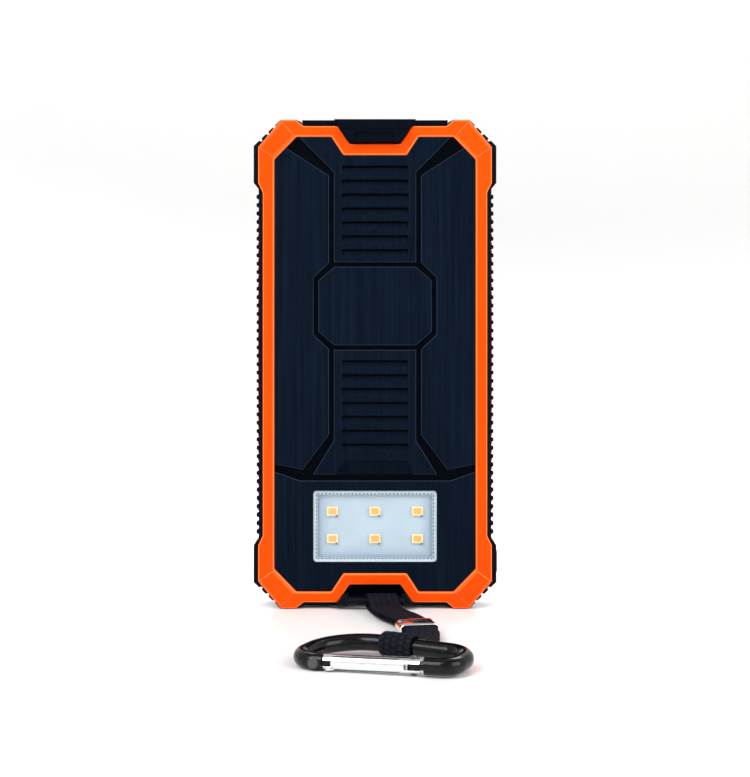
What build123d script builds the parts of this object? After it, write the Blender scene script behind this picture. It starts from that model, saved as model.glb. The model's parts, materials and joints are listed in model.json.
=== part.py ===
"""Rugged solar phone charger standing on its lamp end, with a webbing lanyard and a snap hook.

Millimetres. X runs across the case, Z up its length and Y through its thickness: the lamp face looks
towards -Y and the solar face towards +Y. The origin is on the floor, under the middle of the case.
"""
import os
from math import asin, cos, hypot, pi, sin, tan

from build123d import *

os.makedirs("parts", exist_ok=True)

# ---------------------------------------------------------------- driving dimensions
WIDTH = 77.0
HEIGHT = 155.0
DEPTH = 17.0
MID_Y = 1.1  # the case sits back, so that it and the cover's proud tab are centred together

LAMP_Y = MID_Y - DEPTH / 2
SOLAR_Y = MID_Y + DEPTH / 2

BEZEL = 1.9
BEZEL_RELIEF = 0.3  # the corner facets stand this much above the rest of a bezel
SOFT_CORNER = 0.8
BACK_SEAT_Y = LAMP_Y + BEZEL
FRONT_SEAT_Y = SOLAR_Y - BEZEL

WALL = 1.8
COVER_Y = LAMP_Y + 0.7  # raised fields of the lamp side cover
GROOVE_Y = COVER_Y + 0.6  # bottom of the grooves between them
BACK_INSIDE_Y = BACK_SEAT_Y + 0.8
FRONT_INSIDE_Y = FRONT_SEAT_Y - 1.7
FIT = 0.1
SEAL_INSET = 0.5
SEAL_THICK = 0.5
SEAL_HALF = 0.3
EYELET_HALF = 2.2

# Outlines in the XZ plane: (half width, distance from the nearer end), from the end to the side
SHELL = [(28.2, 4.0), (33.6, 9.4)]
BACK_BEZEL = [
    (8.1, 7.8), (11.8, 2.2), (22.6, 2.2), (24.9, 0.3),
    (29.8, 0.3), (36.95, 8.8), (36.95, 20.2), (35.5, 23.2),
]
BACK_OPENING = [(10.0, 11.3), (13.8, 5.5), (24.9, 5.5), (31.9, 12.7)]
BACK_FACET = [(25.4, 5.0), (32.4, 12.2), (36.5, 9.2), (29.5, 0.8)]
FRONT_BEZEL = [(23.4, 2.3), (25.6, 0.6), (29.8, 0.6), (37.2, 8.4), (37.2, 20.1), (35.8, 23.4)]
FRONT_OPENING = [(22.5, 7.6), (30.9, 15.2)]
FRONT_FACET = [(23.0, 7.0), (31.4, 14.6), (36.7, 8.8), (29.5, 1.1)]

PAD_END = (30.0, 0.0)
PAD_SIDE = (WIDTH / 2, 8.3)
SIDE_X = 36.9  # the armour's flank between the corner pads
FLANK_TOP = 22.0
RAIL_END = 21.45
TOOTH_PITCH = 2.65
TOOTH_ROOT_X = 36.8
TOOTH_TIP_X = 37.5
RAIL_SET_BACK = 0.7

GRIP_LENGTH = 97.0
GRIP_WIDTH = 8.5
GRIP_PITCH = 2.63

PATTERN_Z = 95.9  # middle of the octagon on the cover
LOUVRE_PITCH = 4.4
LOUVRES = 7
LOUVRE_START = 17.6
LOUVRE_HALF = 10.5

WINDOW = (39.2, 22.6)
WINDOW_Z = 26.1
LENS_Y = (COVER_Y + 0.15, COVER_Y + 1.05)
LED_PITCH = (13.5, 8.75)
LED_ROWS_Z = WINDOW_Z + 0.3
LED_BOARD_Y = (BACK_INSIDE_Y, BACK_INSIDE_Y + 1.0)

PANEL_Y = (FRONT_SEAT_Y - 0.5, SOLAR_Y - 0.8)
CELLS_PER_COLUMN = 5
BUS_WIDTH = 3.5
SOLAR_LEADS_Z = 140.0

PORT_HALF = 23.3
PORT_FACE_Z = HEIGHT - 3.0
PORT_Y = 0.85
USB_X = 14.5
USB_OUTSIDE = (13.1, 5.7)
USB_DEPTH = 14.0
SOCKET_SHEET = 0.3
MICRO_OUTSIDE = (7.5, 2.6)
SOCKET_PLAY = 0.1
MAIN_BOARD_Y = (-3.2, -2.0)

COVER_HINGE = (6.5, HEIGHT - 1.7)  # (y, z)
COVER_PIN_R = 0.5
TAB_Y = LAMP_Y - 2.2

BUTTON_Z = 14.2
STEM_R = 1.3
STEM_HOLE_R = STEM_R + 0.1

BAR_R = 1.3
BAR_Y = -7.8
BAR_Z = 2.8
POCKET_Y = -3.4
POCKET_SLOPE = (11.8 - 8.1) / (7.8 - 2.2)

STRAP_WIDTH = 10.0
STRAP_THICK = 2.4  # two layers of webbing
STRAP_Z = 1.75
WEB = 1.1
RUNNING = 0.05
# The lanyard's middle line on the floor, from the bar to the snap hook's spine (x, y)
STRAP_ROUTE = [(2.0, -7.8), (3.8, -20.7), (10.3, -31.9), (14.1, -51.6), (12.2, -63.4), (6.5, -73.4)]
CRIMP_FROM_BEND = 10.2
CRIMP = (8.2, 11.6, 3.5)

HOOK_R = 2.3
SPINE_Z = WEB + 2 * RUNNING + HOOK_R
HOOK_REACH = 22.2  # from the spine's middle line to the far side's
LOOP_AT = 15.4  # where the webbing sits along the spine, from its narrow end
GATE_SLOPE = (cos(15.5 * pi / 180), sin(15.5 * pi / 180))
GATE_ORIGIN = (-1.87, 13.75)
GATE_R = 2.1
RIVET_AT = 5.0
NOSE_AT = 29.0


# ---------------------------------------------------------------- helpers
def at_depth(y):
    """The plane across the case at depth y: its x is the case's X and its y the case's height."""
    return Plane.XZ.offset(-y)


def two_sided(right_half):
    """A closed outline from the points of its right half."""
    return right_half + [(-x, z) for x, z in reversed(right_half)]


def four_fold(quarter):
    """A closed outline, mirrored left to right and end to end, from one quarter of it."""
    return two_sided([(x, HEIGHT - d) for x, d in quarter] + [(x, d) for x, d in reversed(quarter)])


def four_corners(points):
    """The same polygon at all four corners of the case."""
    return across(points) + across([(x, HEIGHT - z) for x, z in points])


def slab(outlines, y_low, y_high, taper=0.0, mode=Mode.ADD):
    """Polygons in the XZ plane, filled between two depths."""
    with BuildSketch(at_depth(y_high)) as profile:
        for outline in outlines:
            Polygon(*outline, align=None)
    extrude(profile.sketch, amount=y_high - y_low, taper=taper, mode=mode)


def ring(outer, inner, y_low, y_high, mode=Mode.ADD):
    """The band between two outlines, filled between two depths."""
    with BuildSketch(at_depth(y_high)) as profile:
        Polygon(*outer, align=None)
        Polygon(*inner, align=None, mode=Mode.SUBTRACT)
    extrude(profile.sketch, amount=y_high - y_low, mode=mode)


def block(x_range, y_range, z_range, mode=Mode.ADD):
    """A straight block between three pairs of limits."""
    with BuildSketch(at_depth(y_range[1])) as profile:
        with Locations(((x_range[0] + x_range[1]) / 2, (z_range[0] + z_range[1]) / 2)):
            Rectangle(x_range[1] - x_range[0], z_range[1] - z_range[0])
    extrude(profile.sketch, amount=y_range[1] - y_range[0], mode=mode)


def post(x, z, radius, y_low, y_high, mode=Mode.ADD):
    """A round post or hole along Y."""
    with BuildSketch(at_depth(y_high)) as profile:
        with Locations((x, z)):
            Circle(radius)
    extrude(profile.sketch, amount=y_high - y_low, mode=mode)


def rod(start, end, radius, mode=Mode.ADD):
    """A round bar between two points."""
    along = Vector(*end) - Vector(*start)
    with BuildSketch(Plane(origin=start, z_dir=along)) as profile:
        Circle(radius)
    extrude(profile.sketch, amount=along.length, mode=mode)


def lead(points, radius, bend):
    """A round wire through the points, with the same bend at each."""
    with BuildLine() as route:
        FilletPolyline(*points, radius=bend)
    with BuildSketch(Plane(origin=route.line @ 0, z_dir=route.line % 0)) as profile:
        Circle(radius)
    sweep(profile.sketch, path=route.line)


def grown(outline, by):
    """An outline moved outwards by a distance, with its corners kept sharp."""
    moved = []
    for before, corner, after in zip(outline[-1:] + outline[:-1], outline, outline[1:] + outline[:1]):
        first = (Vector(*corner) - Vector(*before)).normalized()
        second = (Vector(*after) - Vector(*corner)).normalized()
        half = first.get_signed_angle(second, Vector(0, 0, 1)) * pi / 360
        bisector = (first + second).normalized()
        reach = by / cos(half)
        moved.append((corner[0] - bisector.Y * reach, corner[1] + bisector.X * reach))
    return moved


def grooved_line(start, stop, ribs, depth, half_gap):
    """Points of the grooves that part a straight flank into ribs, from start to stop."""
    length = hypot(stop[0] - start[0], stop[1] - start[1])
    along = ((stop[0] - start[0]) / length, (stop[1] - start[1]) / length)
    inward = (-along[1], along[0])
    points = []
    for rib in range(1, ribs):
        middle = length * rib / ribs
        for offset_along, sink in ((-1, 0), (-0.5, 1), (0.5, 1), (1, 0)):
            s = middle + offset_along * half_gap
            points.append((
                start[0] + along[0] * s + inward[0] * sink * depth,
                start[1] + along[1] * s + inward[1] * sink * depth,
            ))
    return points


def teeth(root_x, tip_x, middle_z, count, pitch, crest=0.45, root=0.8):
    """Points up a toothed edge whose teeth are spread evenly about middle_z."""
    points = []
    for tooth in range(count):
        z = middle_z + (tooth - (count - 1) / 2) * pitch
        points += [(root_x, z - root), (tip_x, z - crest), (tip_x, z + crest), (root_x, z + root)]
    return points


def across(points):
    """A polygon and its mirror image on the other side of the case."""
    return [points, [(-x, z) for x, z in points]]


shell_outline = four_fold(SHELL)
cavity_outline = grown(shell_outline, -WALL)
armour_outline = four_fold(
    [(22.9, 0.9), (24.9, 0.0), PAD_END]
    + grooved_line(PAD_END, PAD_SIDE, 4, 0.7, 0.55)
    + [PAD_SIDE, (WIDTH / 2, 20.0), (SIDE_X, FLANK_TOP)]
    + grooved_line((SIDE_X, FLANK_TOP), (SIDE_X, 29.0), 4, 0.45, 0.4)
)
panel_outline = grown(four_fold(FRONT_OPENING), 1.4)
end_pocket = two_sided([(8.1, 7.8), (8.1 + POCKET_SLOPE * 7.8, 0.0)])

# The lamp side opening, a hair inside the bezel, with the same soft corners
with BuildSketch(Plane.XY) as cover_field:
    Polygon(*grown(four_fold(BACK_OPENING), -FIT), align=None)
    fillet(cover_field.vertices(), SOFT_CORNER)

# ---------------------------------------------------------------- case shells
PORT_BLOCK_Z = (HEIGHT - SHELL[0][1] - WALL, PORT_FACE_Z)
BOARD_SCREWS = [(x, z) for x in (-24.5, 24.5) for z in (124.0, 144.0)]
LAMP_SCREWS = [(-22.0, WINDOW_Z), (22.0, WINDOW_Z)]
SCREW_R = 0.95
SCREW_HEAD_R = 1.75
SCREW_HEAD = 1.3
SCREW_BITE = 1.8
LAMP_SCREW_BITE = 1.4
BOARD_POST_R = 2.2
LEAD_HOLE_R = 2.5


def port_holes():
    """Openings for the sockets through the end wall."""
    through = (PORT_BLOCK_Z[0] - 1, HEIGHT)
    usb_x = USB_OUTSIDE[0] / 2 + SOCKET_PLAY
    usb_y = USB_OUTSIDE[1] / 2 + SOCKET_PLAY
    for x in (-USB_X, USB_X):
        block((x - usb_x, x + usb_x), (PORT_Y - usb_y, PORT_Y + usb_y), through, Mode.SUBTRACT)
    micro_x = MICRO_OUTSIDE[0] / 2 + SOCKET_PLAY
    micro_y = (MAIN_BOARD_Y[1] - SOCKET_PLAY, MAIN_BOARD_Y[1] + MICRO_OUTSIDE[1] + SOCKET_PLAY)
    block((-micro_x, micro_x), micro_y, through, Mode.SUBTRACT)


def seal_run(back, front, mode=Mode.ADD):
    """The seal in the middle of the shells' walls, with an eyelet where the button's stem passes."""
    ring(
        grown(shell_outline, -SEAL_INSET), grown(shell_outline, SEAL_THICK - WALL),
        MID_Y - back * SEAL_HALF, MID_Y + front * SEAL_HALF, mode,
    )
    block(
        (SHELL[1][0] + SEAL_THICK - WALL, SHELL[1][0] - SEAL_INSET),
        (MID_Y - back * EYELET_HALF, MID_Y + front * EYELET_HALF),
        (BUTTON_Z - EYELET_HALF, BUTTON_Z + EYELET_HALF), mode,
    )


def stem_hole(radius):
    """The way through the side wall for the button's stem."""
    wall_x = SHELL[1][0]
    start = (wall_x - 2 * WALL, MID_Y, BUTTON_Z)
    rod(start, (wall_x + WALL, MID_Y, BUTTON_Z), radius, Mode.SUBTRACT)


# raised fields of the cover
side_field = [
    (14.6, 137.2), (29.5, 146.8), (34.0, 142.0), (34.0, 46.3), (22.9, 44.1), (14.6, 55.2),
    (14.6, PATTERN_Z - 13.7), (19.5, PATTERN_Z - 9.0), (19.5, PATTERN_Z + 9.0), (14.6, PATTERN_Z + 13.7),
]
upper_tower = two_sided([(13.0, PATTERN_Z + 13.9), (13.0, 138.3), (24.2, 149.6), (24.2, 154.0)])
octagon = two_sided([
    (12.9, PATTERN_Z + 12.4), (17.9, PATTERN_Z + 8.1), (17.9, PATTERN_Z - 8.1), (12.9, PATTERN_Z - 12.4),
])
lower_tower = two_sided([(13.0, PATTERN_Z - 13.9), (13.0, 53.3), (19.6, 42.6)])
lamp_field = two_sided([(23.8, 40.6), (34.0, 44.2), (34.0, 1.0)])
chin = two_sided([(9.8, 46.9), (12.7, 42.0)])
FIELD_BEVEL = 0.15
CHIN_SINK = 0.3
LOUVRE_DEPTH = 0.75
LENS_SHELF = (18.2, 10.0)  # half width and height of the opening behind the lens

with BuildPart() as back_shell:
    slab([shell_outline], BACK_SEAT_Y, BACK_INSIDE_Y)
    with BuildSketch(at_depth(BACK_SEAT_Y)):
        add(cover_field.sketch)
    extrude(amount=BACK_SEAT_Y - GROOVE_Y)
    with BuildSketch(at_depth(GROOVE_Y)):
        for outline in across(side_field) + [upper_tower, octagon, lower_tower, lamp_field]:
            Polygon(*outline, align=None)
        add(cover_field.sketch, mode=Mode.INTERSECT)
    extrude(amount=GROOVE_Y - COVER_Y)
    # bright little bevels along the raised fields
    raised_faces = back_shell.faces().filter_by(Axis.Y).group_by(Axis.Y)[0]
    chamfer(raised_faces.edges(), FIELD_BEVEL)
    slab([chin], COVER_Y, COVER_Y + CHIN_SINK, mode=Mode.SUBTRACT)
    # louvres: deep along the upper edge, running out to nothing below
    for side in (-1, 1):
        for louvre in range(LOUVRES):
            z = PATTERN_Z + side * (LOUVRE_START + LOUVRE_PITCH * louvre)
            with BuildSketch(Plane.YZ.offset(-LOUVRE_HALF)):
                Polygon(
                    (COVER_Y - 1, z + 0.5), (COVER_Y + LOUVRE_DEPTH, z + 0.45),
                    (COVER_Y + LOUVRE_DEPTH, z - 0.25), (COVER_Y, z - LOUVRE_PITCH / 2),
                    (COVER_Y - 1, z - LOUVRE_PITCH / 2), align=None,
                )
            extrude(amount=2 * LOUVRE_HALF, mode=Mode.SUBTRACT)
    ring(shell_outline, cavity_outline, BACK_INSIDE_Y, MID_Y)
    seal_run(1, 0, Mode.SUBTRACT)
    block((-PORT_HALF, PORT_HALF), (BACK_SEAT_Y, MID_Y), PORT_BLOCK_Z)
    # the lanyard's pocket and the wall behind it
    block((-13.2, 13.2), (BACK_INSIDE_Y, POCKET_Y + 1.5), (SHELL[0][1], 9.6))
    slab([end_pocket], BACK_SEAT_Y - 0.5, POCKET_Y, mode=Mode.SUBTRACT)
    # the lamp window, with a shelf that the lens rests on
    block(
        (-LENS_SHELF[0], LENS_SHELF[0]), (LAMP_Y, BACK_INSIDE_Y),
        (WINDOW_Z - LENS_SHELF[1], WINDOW_Z + LENS_SHELF[1]), Mode.SUBTRACT,
    )
    block(
        (-WINDOW[0] / 2, WINDOW[0] / 2), (LAMP_Y, LENS_Y[1]),
        (WINDOW_Z - WINDOW[1] / 2, WINDOW_Z + WINDOW[1] / 2), Mode.SUBTRACT,
    )
    for x, z in BOARD_SCREWS:
        post(x, z, BOARD_POST_R, BACK_INSIDE_Y, MAIN_BOARD_Y[0])
        post(x, z, SCREW_R, MAIN_BOARD_Y[0] - SCREW_BITE, MAIN_BOARD_Y[0], Mode.SUBTRACT)
    for x, z in LAMP_SCREWS:
        post(x, z, SCREW_R, BACK_INSIDE_Y - LAMP_SCREW_BITE, BACK_INSIDE_Y, Mode.SUBTRACT)
    port_holes()
    stem_hole(STEM_HOLE_R)

with BuildPart() as front_shell:
    slab([shell_outline], FRONT_INSIDE_Y, PANEL_Y[0])
    ring(shell_outline, grown(panel_outline, FIT), PANEL_Y[0], FRONT_SEAT_Y)
    ring(shell_outline, cavity_outline, MID_Y, FRONT_INSIDE_Y)
    seal_run(0, 1, Mode.SUBTRACT)
    block((-PORT_HALF, PORT_HALF), (MID_Y, FRONT_SEAT_Y), PORT_BLOCK_Z)
    post(0, SOLAR_LEADS_Z, LEAD_HOLE_R, FRONT_INSIDE_Y, PANEL_Y[0], Mode.SUBTRACT)
    port_holes()
    stem_hole(STEM_HOLE_R)

with BuildPart() as shell_seal:
    seal_run(1, 1)
    block((-PORT_HALF, PORT_HALF), (BACK_SEAT_Y, FRONT_SEAT_Y), (PORT_BLOCK_Z[0] - 5, HEIGHT), Mode.SUBTRACT)
    stem_hole(STEM_HOLE_R)


# ---------------------------------------------------------------- bezels
def bezel_band(outer, inner, y_low, y_high):
    """A bezel's ring with softened corners."""
    with BuildSketch(at_depth(y_high)) as band:
        Polygon(*four_fold(outer), align=None)
        Polygon(*four_fold(inner), align=None, mode=Mode.SUBTRACT)
        fillet(band.vertices(), SOFT_CORNER)
    extrude(band.sketch, amount=y_high - y_low)


with BuildPart() as back_bezel:
    bezel_band(BACK_BEZEL, BACK_OPENING, LAMP_Y + BEZEL_RELIEF, BACK_SEAT_Y)
    rim = back_bezel.faces().sort_by(Axis.Y)[0]
    chamfer(rim.outer_wire().edges(), 0.35)
    rim = back_bezel.faces().sort_by(Axis.Y)[0]
    chamfer(rim.inner_wires()[0].edges(), 0.5)
    slab(four_corners(BACK_FACET), LAMP_Y, LAMP_Y + BEZEL_RELIEF + 0.1, taper=35)

with BuildPart() as front_bezel:
    bezel_band(FRONT_BEZEL, FRONT_OPENING, FRONT_SEAT_Y, SOLAR_Y - BEZEL_RELIEF)
    rim = front_bezel.faces().sort_by(Axis.Y)[-1]
    chamfer(rim.outer_wire().edges(), 0.35)
    rim = front_bezel.faces().sort_by(Axis.Y)[-1]
    chamfer(rim.inner_wires()[0].edges(), 0.45)
    slab(four_corners(FRONT_FACET), SOLAR_Y - BEZEL_RELIEF - 0.1, SOLAR_Y, taper=-35)
    # rebate that holds the solar panel down
    slab([grown(panel_outline, FIT)], FRONT_SEAT_Y, PANEL_Y[1], mode=Mode.SUBTRACT)

# ---------------------------------------------------------------- armour and grips
GRIP_SEAT_X = 35.2
GRIP_ROOT_X = 36.6
GRIP_TIP_X = 37.35
rail_teeth = int((HEIGHT - 2 * RAIL_END) / TOOTH_PITCH) - 1


def rails(inner_x, y_low, y_high):
    """The toothed rail along each flank, its ends leaning with the bezel's."""
    end = [(inner_x, RAIL_END + 2.05), (inner_x + 0.87, RAIL_END), (TOOTH_ROOT_X + 0.1, RAIL_END)]
    toothed = teeth(TOOTH_ROOT_X, TOOTH_TIP_X, HEIGHT / 2, rail_teeth, TOOTH_PITCH)
    slab(across(end + toothed + [(x, HEIGHT - z) for x, z in reversed(end)]), y_low, y_high)


def pad_rectangle(x_range, size, corner, mode=Mode.ADD):
    """A rounded block across the corner pad at the button, from one x to another."""
    with BuildSketch(Plane.YZ.offset(x_range[0])) as profile:
        with Locations((MID_Y, BUTTON_Z)):
            RectangleRounded(*size, corner)
    extrude(profile.sketch, amount=x_range[1] - x_range[0], mode=mode)


with BuildPart() as armour_band:
    ring(armour_outline, shell_outline, BACK_SEAT_Y, FRONT_SEAT_Y)
    rails(35.6, LAMP_Y + RAIL_SET_BACK, BACK_SEAT_Y + 1.3)
    rails(35.9, FRONT_SEAT_Y - 1.3, SOLAR_Y - RAIL_SET_BACK)
    for side in (-1, 1):
        x_range = sorted((side * GRIP_SEAT_X, side * WIDTH / 2))
        block(
            x_range, (MID_Y - GRIP_WIDTH / 2, MID_Y + GRIP_WIDTH / 2),
            ((HEIGHT - GRIP_LENGTH) / 2, (HEIGHT + GRIP_LENGTH) / 2), Mode.SUBTRACT,
        )
    # the port bay at the upper end and the lanyard's notch at the lower end
    block((-PORT_HALF, PORT_HALF), (LAMP_Y, SOLAR_Y), (HEIGHT - 5.0, HEIGHT), Mode.SUBTRACT)
    slab([end_pocket], LAMP_Y, POCKET_Y, mode=Mode.SUBTRACT)
    for side in (-1, 1):
        rod(
            (side * PORT_HALF, *COVER_HINGE), (side * (PORT_HALF + 1.7), *COVER_HINGE),
            COVER_PIN_R + RUNNING, Mode.SUBTRACT,
        )
    # the button's way through the corner pad, wider inside for its flange
    pad_rectangle((33.0, 36.0), (6.4, 9.0), 1.2, Mode.SUBTRACT)
    pad_rectangle((36.0, 40.0), (5.0, 7.5), 1.1, Mode.SUBTRACT)


def grip(side):
    """One ribbed grip insert in the flank."""
    ribs = int(GRIP_LENGTH / GRIP_PITCH)
    low = (HEIGHT - GRIP_LENGTH) / 2
    high = (HEIGHT + GRIP_LENGTH) / 2
    outline = (
        [(GRIP_SEAT_X, low), (GRIP_ROOT_X, low)]
        + teeth(GRIP_ROOT_X, GRIP_TIP_X, HEIGHT / 2, ribs, GRIP_PITCH, crest=0.55, root=0.95)
        + [(GRIP_ROOT_X, high), (GRIP_SEAT_X, high)]
    )
    slab([[(side * x, z) for x, z in outline]], MID_Y - GRIP_WIDTH / 2, MID_Y + GRIP_WIDTH / 2)


with BuildPart() as grip_right:
    grip(1)

with BuildPart() as grip_left:
    grip(-1)

# ---------------------------------------------------------------- solar panel
BACKING_Y = (PANEL_Y[0], PANEL_Y[1] - 0.7)
CELL_Y = (BACKING_Y[1], BACKING_Y[1] + 0.2)
CELL_INSET = 1.6
CELL_GAP = 0.2

with BuildPart() as solar_backing:
    slab([panel_outline], *BACKING_Y)

with BuildPart() as solar_cells:
    cell_outline = grown(panel_outline, -CELL_INSET)
    span = max(z for x, z in cell_outline) * 2 - HEIGHT
    cell_height = (span + CELL_GAP) / CELLS_PER_COLUMN
    with BuildSketch(at_depth(CELL_Y[1])):
        Polygon(*cell_outline, align=None)
        Rectangle(BUS_WIDTH, 2 * HEIGHT, mode=Mode.SUBTRACT)
        for cut in range(1, CELLS_PER_COLUMN):
            with Locations((0, (HEIGHT - span - CELL_GAP) / 2 + cut * cell_height)):
                Rectangle(WIDTH, CELL_GAP, mode=Mode.SUBTRACT)
    extrude(amount=CELL_Y[1] - CELL_Y[0])

with BuildPart() as solar_glass:
    slab([panel_outline], CELL_Y[0], PANEL_Y[1])
    slab([cell_outline], *CELL_Y, mode=Mode.SUBTRACT)

# ---------------------------------------------------------------- work lamp
with BuildPart() as lamp_lens:
    block((-WINDOW[0] / 2, WINDOW[0] / 2), LENS_Y, (WINDOW_Z - WINDOW[1] / 2, WINDOW_Z + WINDOW[1] / 2))

with BuildPart() as lamp_board:
    block((-24.0, 24.0), LED_BOARD_Y, (WINDOW_Z - 12.8, WINDOW_Z + 12.8))
    for x, z in LAMP_SCREWS:
        post(x, z, SCREW_R + RUNNING, *LED_BOARD_Y, Mode.SUBTRACT)

LED_BODY = (3.5, 2.8)
LED_BODY_Y = (LED_BOARD_Y[0] - 0.6, LED_BOARD_Y[0])
PHOSPHOR = (2.6, 2.0)
PHOSPHOR_Y = (LED_BODY_Y[0], LED_BODY_Y[0] + 0.15)


def led_grid(size, corner, y_range, mode=Mode.ADD):
    """Six rounded blocks at the places of the LEDs."""
    with BuildSketch(at_depth(y_range[1])) as profile:
        with Locations((0, LED_ROWS_Z)):
            with GridLocations(*LED_PITCH, 3, 2):
                RectangleRounded(*size, corner)
    extrude(profile.sketch, amount=y_range[1] - y_range[0], mode=mode)


with BuildPart() as lamp_leds:
    led_grid(LED_BODY, 0.25, LED_BODY_Y)
    led_grid(PHOSPHOR, 0.4, PHOSPHOR_Y, Mode.SUBTRACT)

with BuildPart() as lamp_phosphors:
    led_grid(PHOSPHOR, 0.4, PHOSPHOR_Y)

# ---------------------------------------------------------------- port cover and sockets
BOSS_DEPTH = 1.0
COVER_HALF = PORT_HALF - 0.2
COVER_Z = (PORT_FACE_Z + 0.15, HEIGHT - 0.1)
COVER_EDGE_Y = BACK_SEAT_Y + 0.1

with BuildPart() as port_cover:
    block((-COVER_HALF, COVER_HALF), (COVER_EDGE_Y, COVER_HINGE[0] - 1.3), COVER_Z)
    block(
        (-COVER_HALF, COVER_HALF), (COVER_HINGE[0] - 1.4, COVER_HINGE[0]),
        (COVER_HINGE[1] - 0.9, COVER_HINGE[1] + 0.9),
    )
    rod((-COVER_HALF, *COVER_HINGE), (COVER_HALF, *COVER_HINGE), 1.1)
    rod((-PORT_HALF - 1.5, *COVER_HINGE), (PORT_HALF + 1.5, *COVER_HINGE), COVER_PIN_R)
    # pull tab over the lamp side notch: a flat upper band, then a proud lip
    band = two_sided([(10.5, HEIGHT - 3.8), (11.6, HEIGHT - 2.05), (12.9, COVER_Z[1])])
    slab([band], LAMP_Y - 0.4, BACK_SEAT_Y - 0.1)
    block((-11.5, 11.5), (BACK_SEAT_Y - 0.2, COVER_EDGE_Y + 0.1), COVER_Z)
    lip = two_sided([(8.0, HEIGHT - 7.4), (10.6, HEIGHT - 3.6)])
    slab([lip], TAB_Y, BACK_SEAT_Y - 0.1)
    block((-6.3, 6.3), (TAB_Y, TAB_Y + 0.5), (HEIGHT - 6.3, HEIGHT - 4.4), Mode.SUBTRACT)
    # shallow plugs that seat in the sockets
    for x in (-USB_X, USB_X):
        block((x - 5.9, x + 5.9), (PORT_Y - 2.1, PORT_Y + 2.2), (PORT_FACE_Z - BOSS_DEPTH, COVER_Z[0]))
    chamfer(port_cover.faces().sort_by(Axis.Y)[0].outer_wire().edges(), 0.4)

USB_Z = (PORT_FACE_Z - 0.1 - USB_DEPTH, PORT_FACE_Z - 0.1)


def usb_block(x, inset, z_range, mode=Mode.ADD):
    """A block in a socket's place, smaller than its shell by an inset all round."""
    half_x = USB_OUTSIDE[0] / 2 - inset
    half_y = USB_OUTSIDE[1] / 2 - inset
    block((x - half_x, x + half_x), (PORT_Y - half_y, PORT_Y + half_y), z_range, mode)


def usb_shell(x):
    """A folded steel socket shell, open at its mouth."""
    usb_block(x, 0, USB_Z)
    usb_block(x, SOCKET_SHEET, (USB_Z[0] + SOCKET_SHEET, HEIGHT), Mode.SUBTRACT)


def usb_insulator(x):
    """The plastic block and contact tongue inside a socket."""
    usb_block(x, SOCKET_SHEET, (USB_Z[0] + SOCKET_SHEET, USB_Z[0] + 3.5))
    block((x - 5.6, x + 5.6), (PORT_Y + 0.2, PORT_Y + 2.0), (USB_Z[0] + 3.5, USB_Z[1] - 1.2))


with BuildPart() as usb_socket_left:
    usb_shell(-USB_X)

with BuildPart() as usb_socket_right:
    usb_shell(USB_X)

with BuildPart() as usb_insulator_left:
    usb_insulator(-USB_X)

with BuildPart() as usb_insulator_right:
    usb_insulator(USB_X)

MICRO_Y = (MAIN_BOARD_Y[1], MAIN_BOARD_Y[1] + MICRO_OUTSIDE[1])

with BuildPart() as micro_usb_socket:
    half = MICRO_OUTSIDE[0] / 2
    block((-half, half), MICRO_Y, (USB_Z[1] - 5.6, USB_Z[1]))
    block(
        (SOCKET_SHEET - half, half - SOCKET_SHEET), (MICRO_Y[0] + SOCKET_SHEET, MICRO_Y[1] - SOCKET_SHEET),
        (USB_Z[1] - 5.0, HEIGHT), Mode.SUBTRACT,
    )

with BuildPart() as micro_usb_tongue:
    block((-1.8, 1.8), (MICRO_Y[1] - 1.3, MICRO_Y[1] - 0.7), (USB_Z[1] - 5.0, USB_Z[1] - 0.6))

# ---------------------------------------------------------------- electronics
MAIN_BOARD_Z = (119.2, 148.2)

with BuildPart() as main_board:
    block((-27.5, 27.5), MAIN_BOARD_Y, MAIN_BOARD_Z)
    for x, z in BOARD_SCREWS:
        post(x, z, SCREW_R + RUNNING, *MAIN_BOARD_Y, Mode.SUBTRACT)

with BuildPart() as board_screws:
    for x, z in BOARD_SCREWS:
        post(x, z, SCREW_R, MAIN_BOARD_Y[0] - SCREW_BITE, MAIN_BOARD_Y[1])
        post(x, z, SCREW_HEAD_R, MAIN_BOARD_Y[1], MAIN_BOARD_Y[1] + SCREW_HEAD)
    for x, z in LAMP_SCREWS:
        post(x, z, SCREW_R, BACK_INSIDE_Y - LAMP_SCREW_BITE, LED_BOARD_Y[1])
        post(x, z, SCREW_HEAD_R, LED_BOARD_Y[1], LED_BOARD_Y[1] + SCREW_HEAD)

COMPONENT_Y = MAIN_BOARD_Y[1]

with BuildPart() as power_chips:
    for x, z, size, tall in ((-2.0, 131.5, 6.0, 1.2), (-2.0, 141.5, 5.0, 1.0), (8.0, 128.0, 4.5, 1.4)):
        block((x - size / 2, x + size / 2), (COMPONENT_Y, COMPONENT_Y + tall), (z - size / 2, z + size / 2))

with BuildPart() as power_inductor:
    block((-17.0, -10.0), (COMPONENT_Y, COMPONENT_Y + 3.2), (126.0, 133.0))
    fillet(power_inductor.edges().filter_by(Axis.Y), 1.2)

with BuildPart() as filter_capacitors:
    for x in (12.5, 16.5, 20.5):
        post(x, 134.0, 1.7, COMPONENT_Y, COMPONENT_Y + 4.5)

BATTERY_HALF = 29.0
BATTERY_Z = (44.0, 113.0)
CELL_THICK = 4.8


def battery_cell(y_low):
    """A flat pouch cell with rounded long edges."""
    with BuildSketch(Plane.XY.offset(BATTERY_Z[0])) as profile:
        with Locations((0, y_low + CELL_THICK / 2)):
            RectangleRounded(2 * BATTERY_HALF, CELL_THICK, 1.5)
    extrude(profile.sketch, amount=BATTERY_Z[1] - BATTERY_Z[0])


with BuildPart() as battery_cell_rear:
    battery_cell(BACK_INSIDE_Y)

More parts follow.
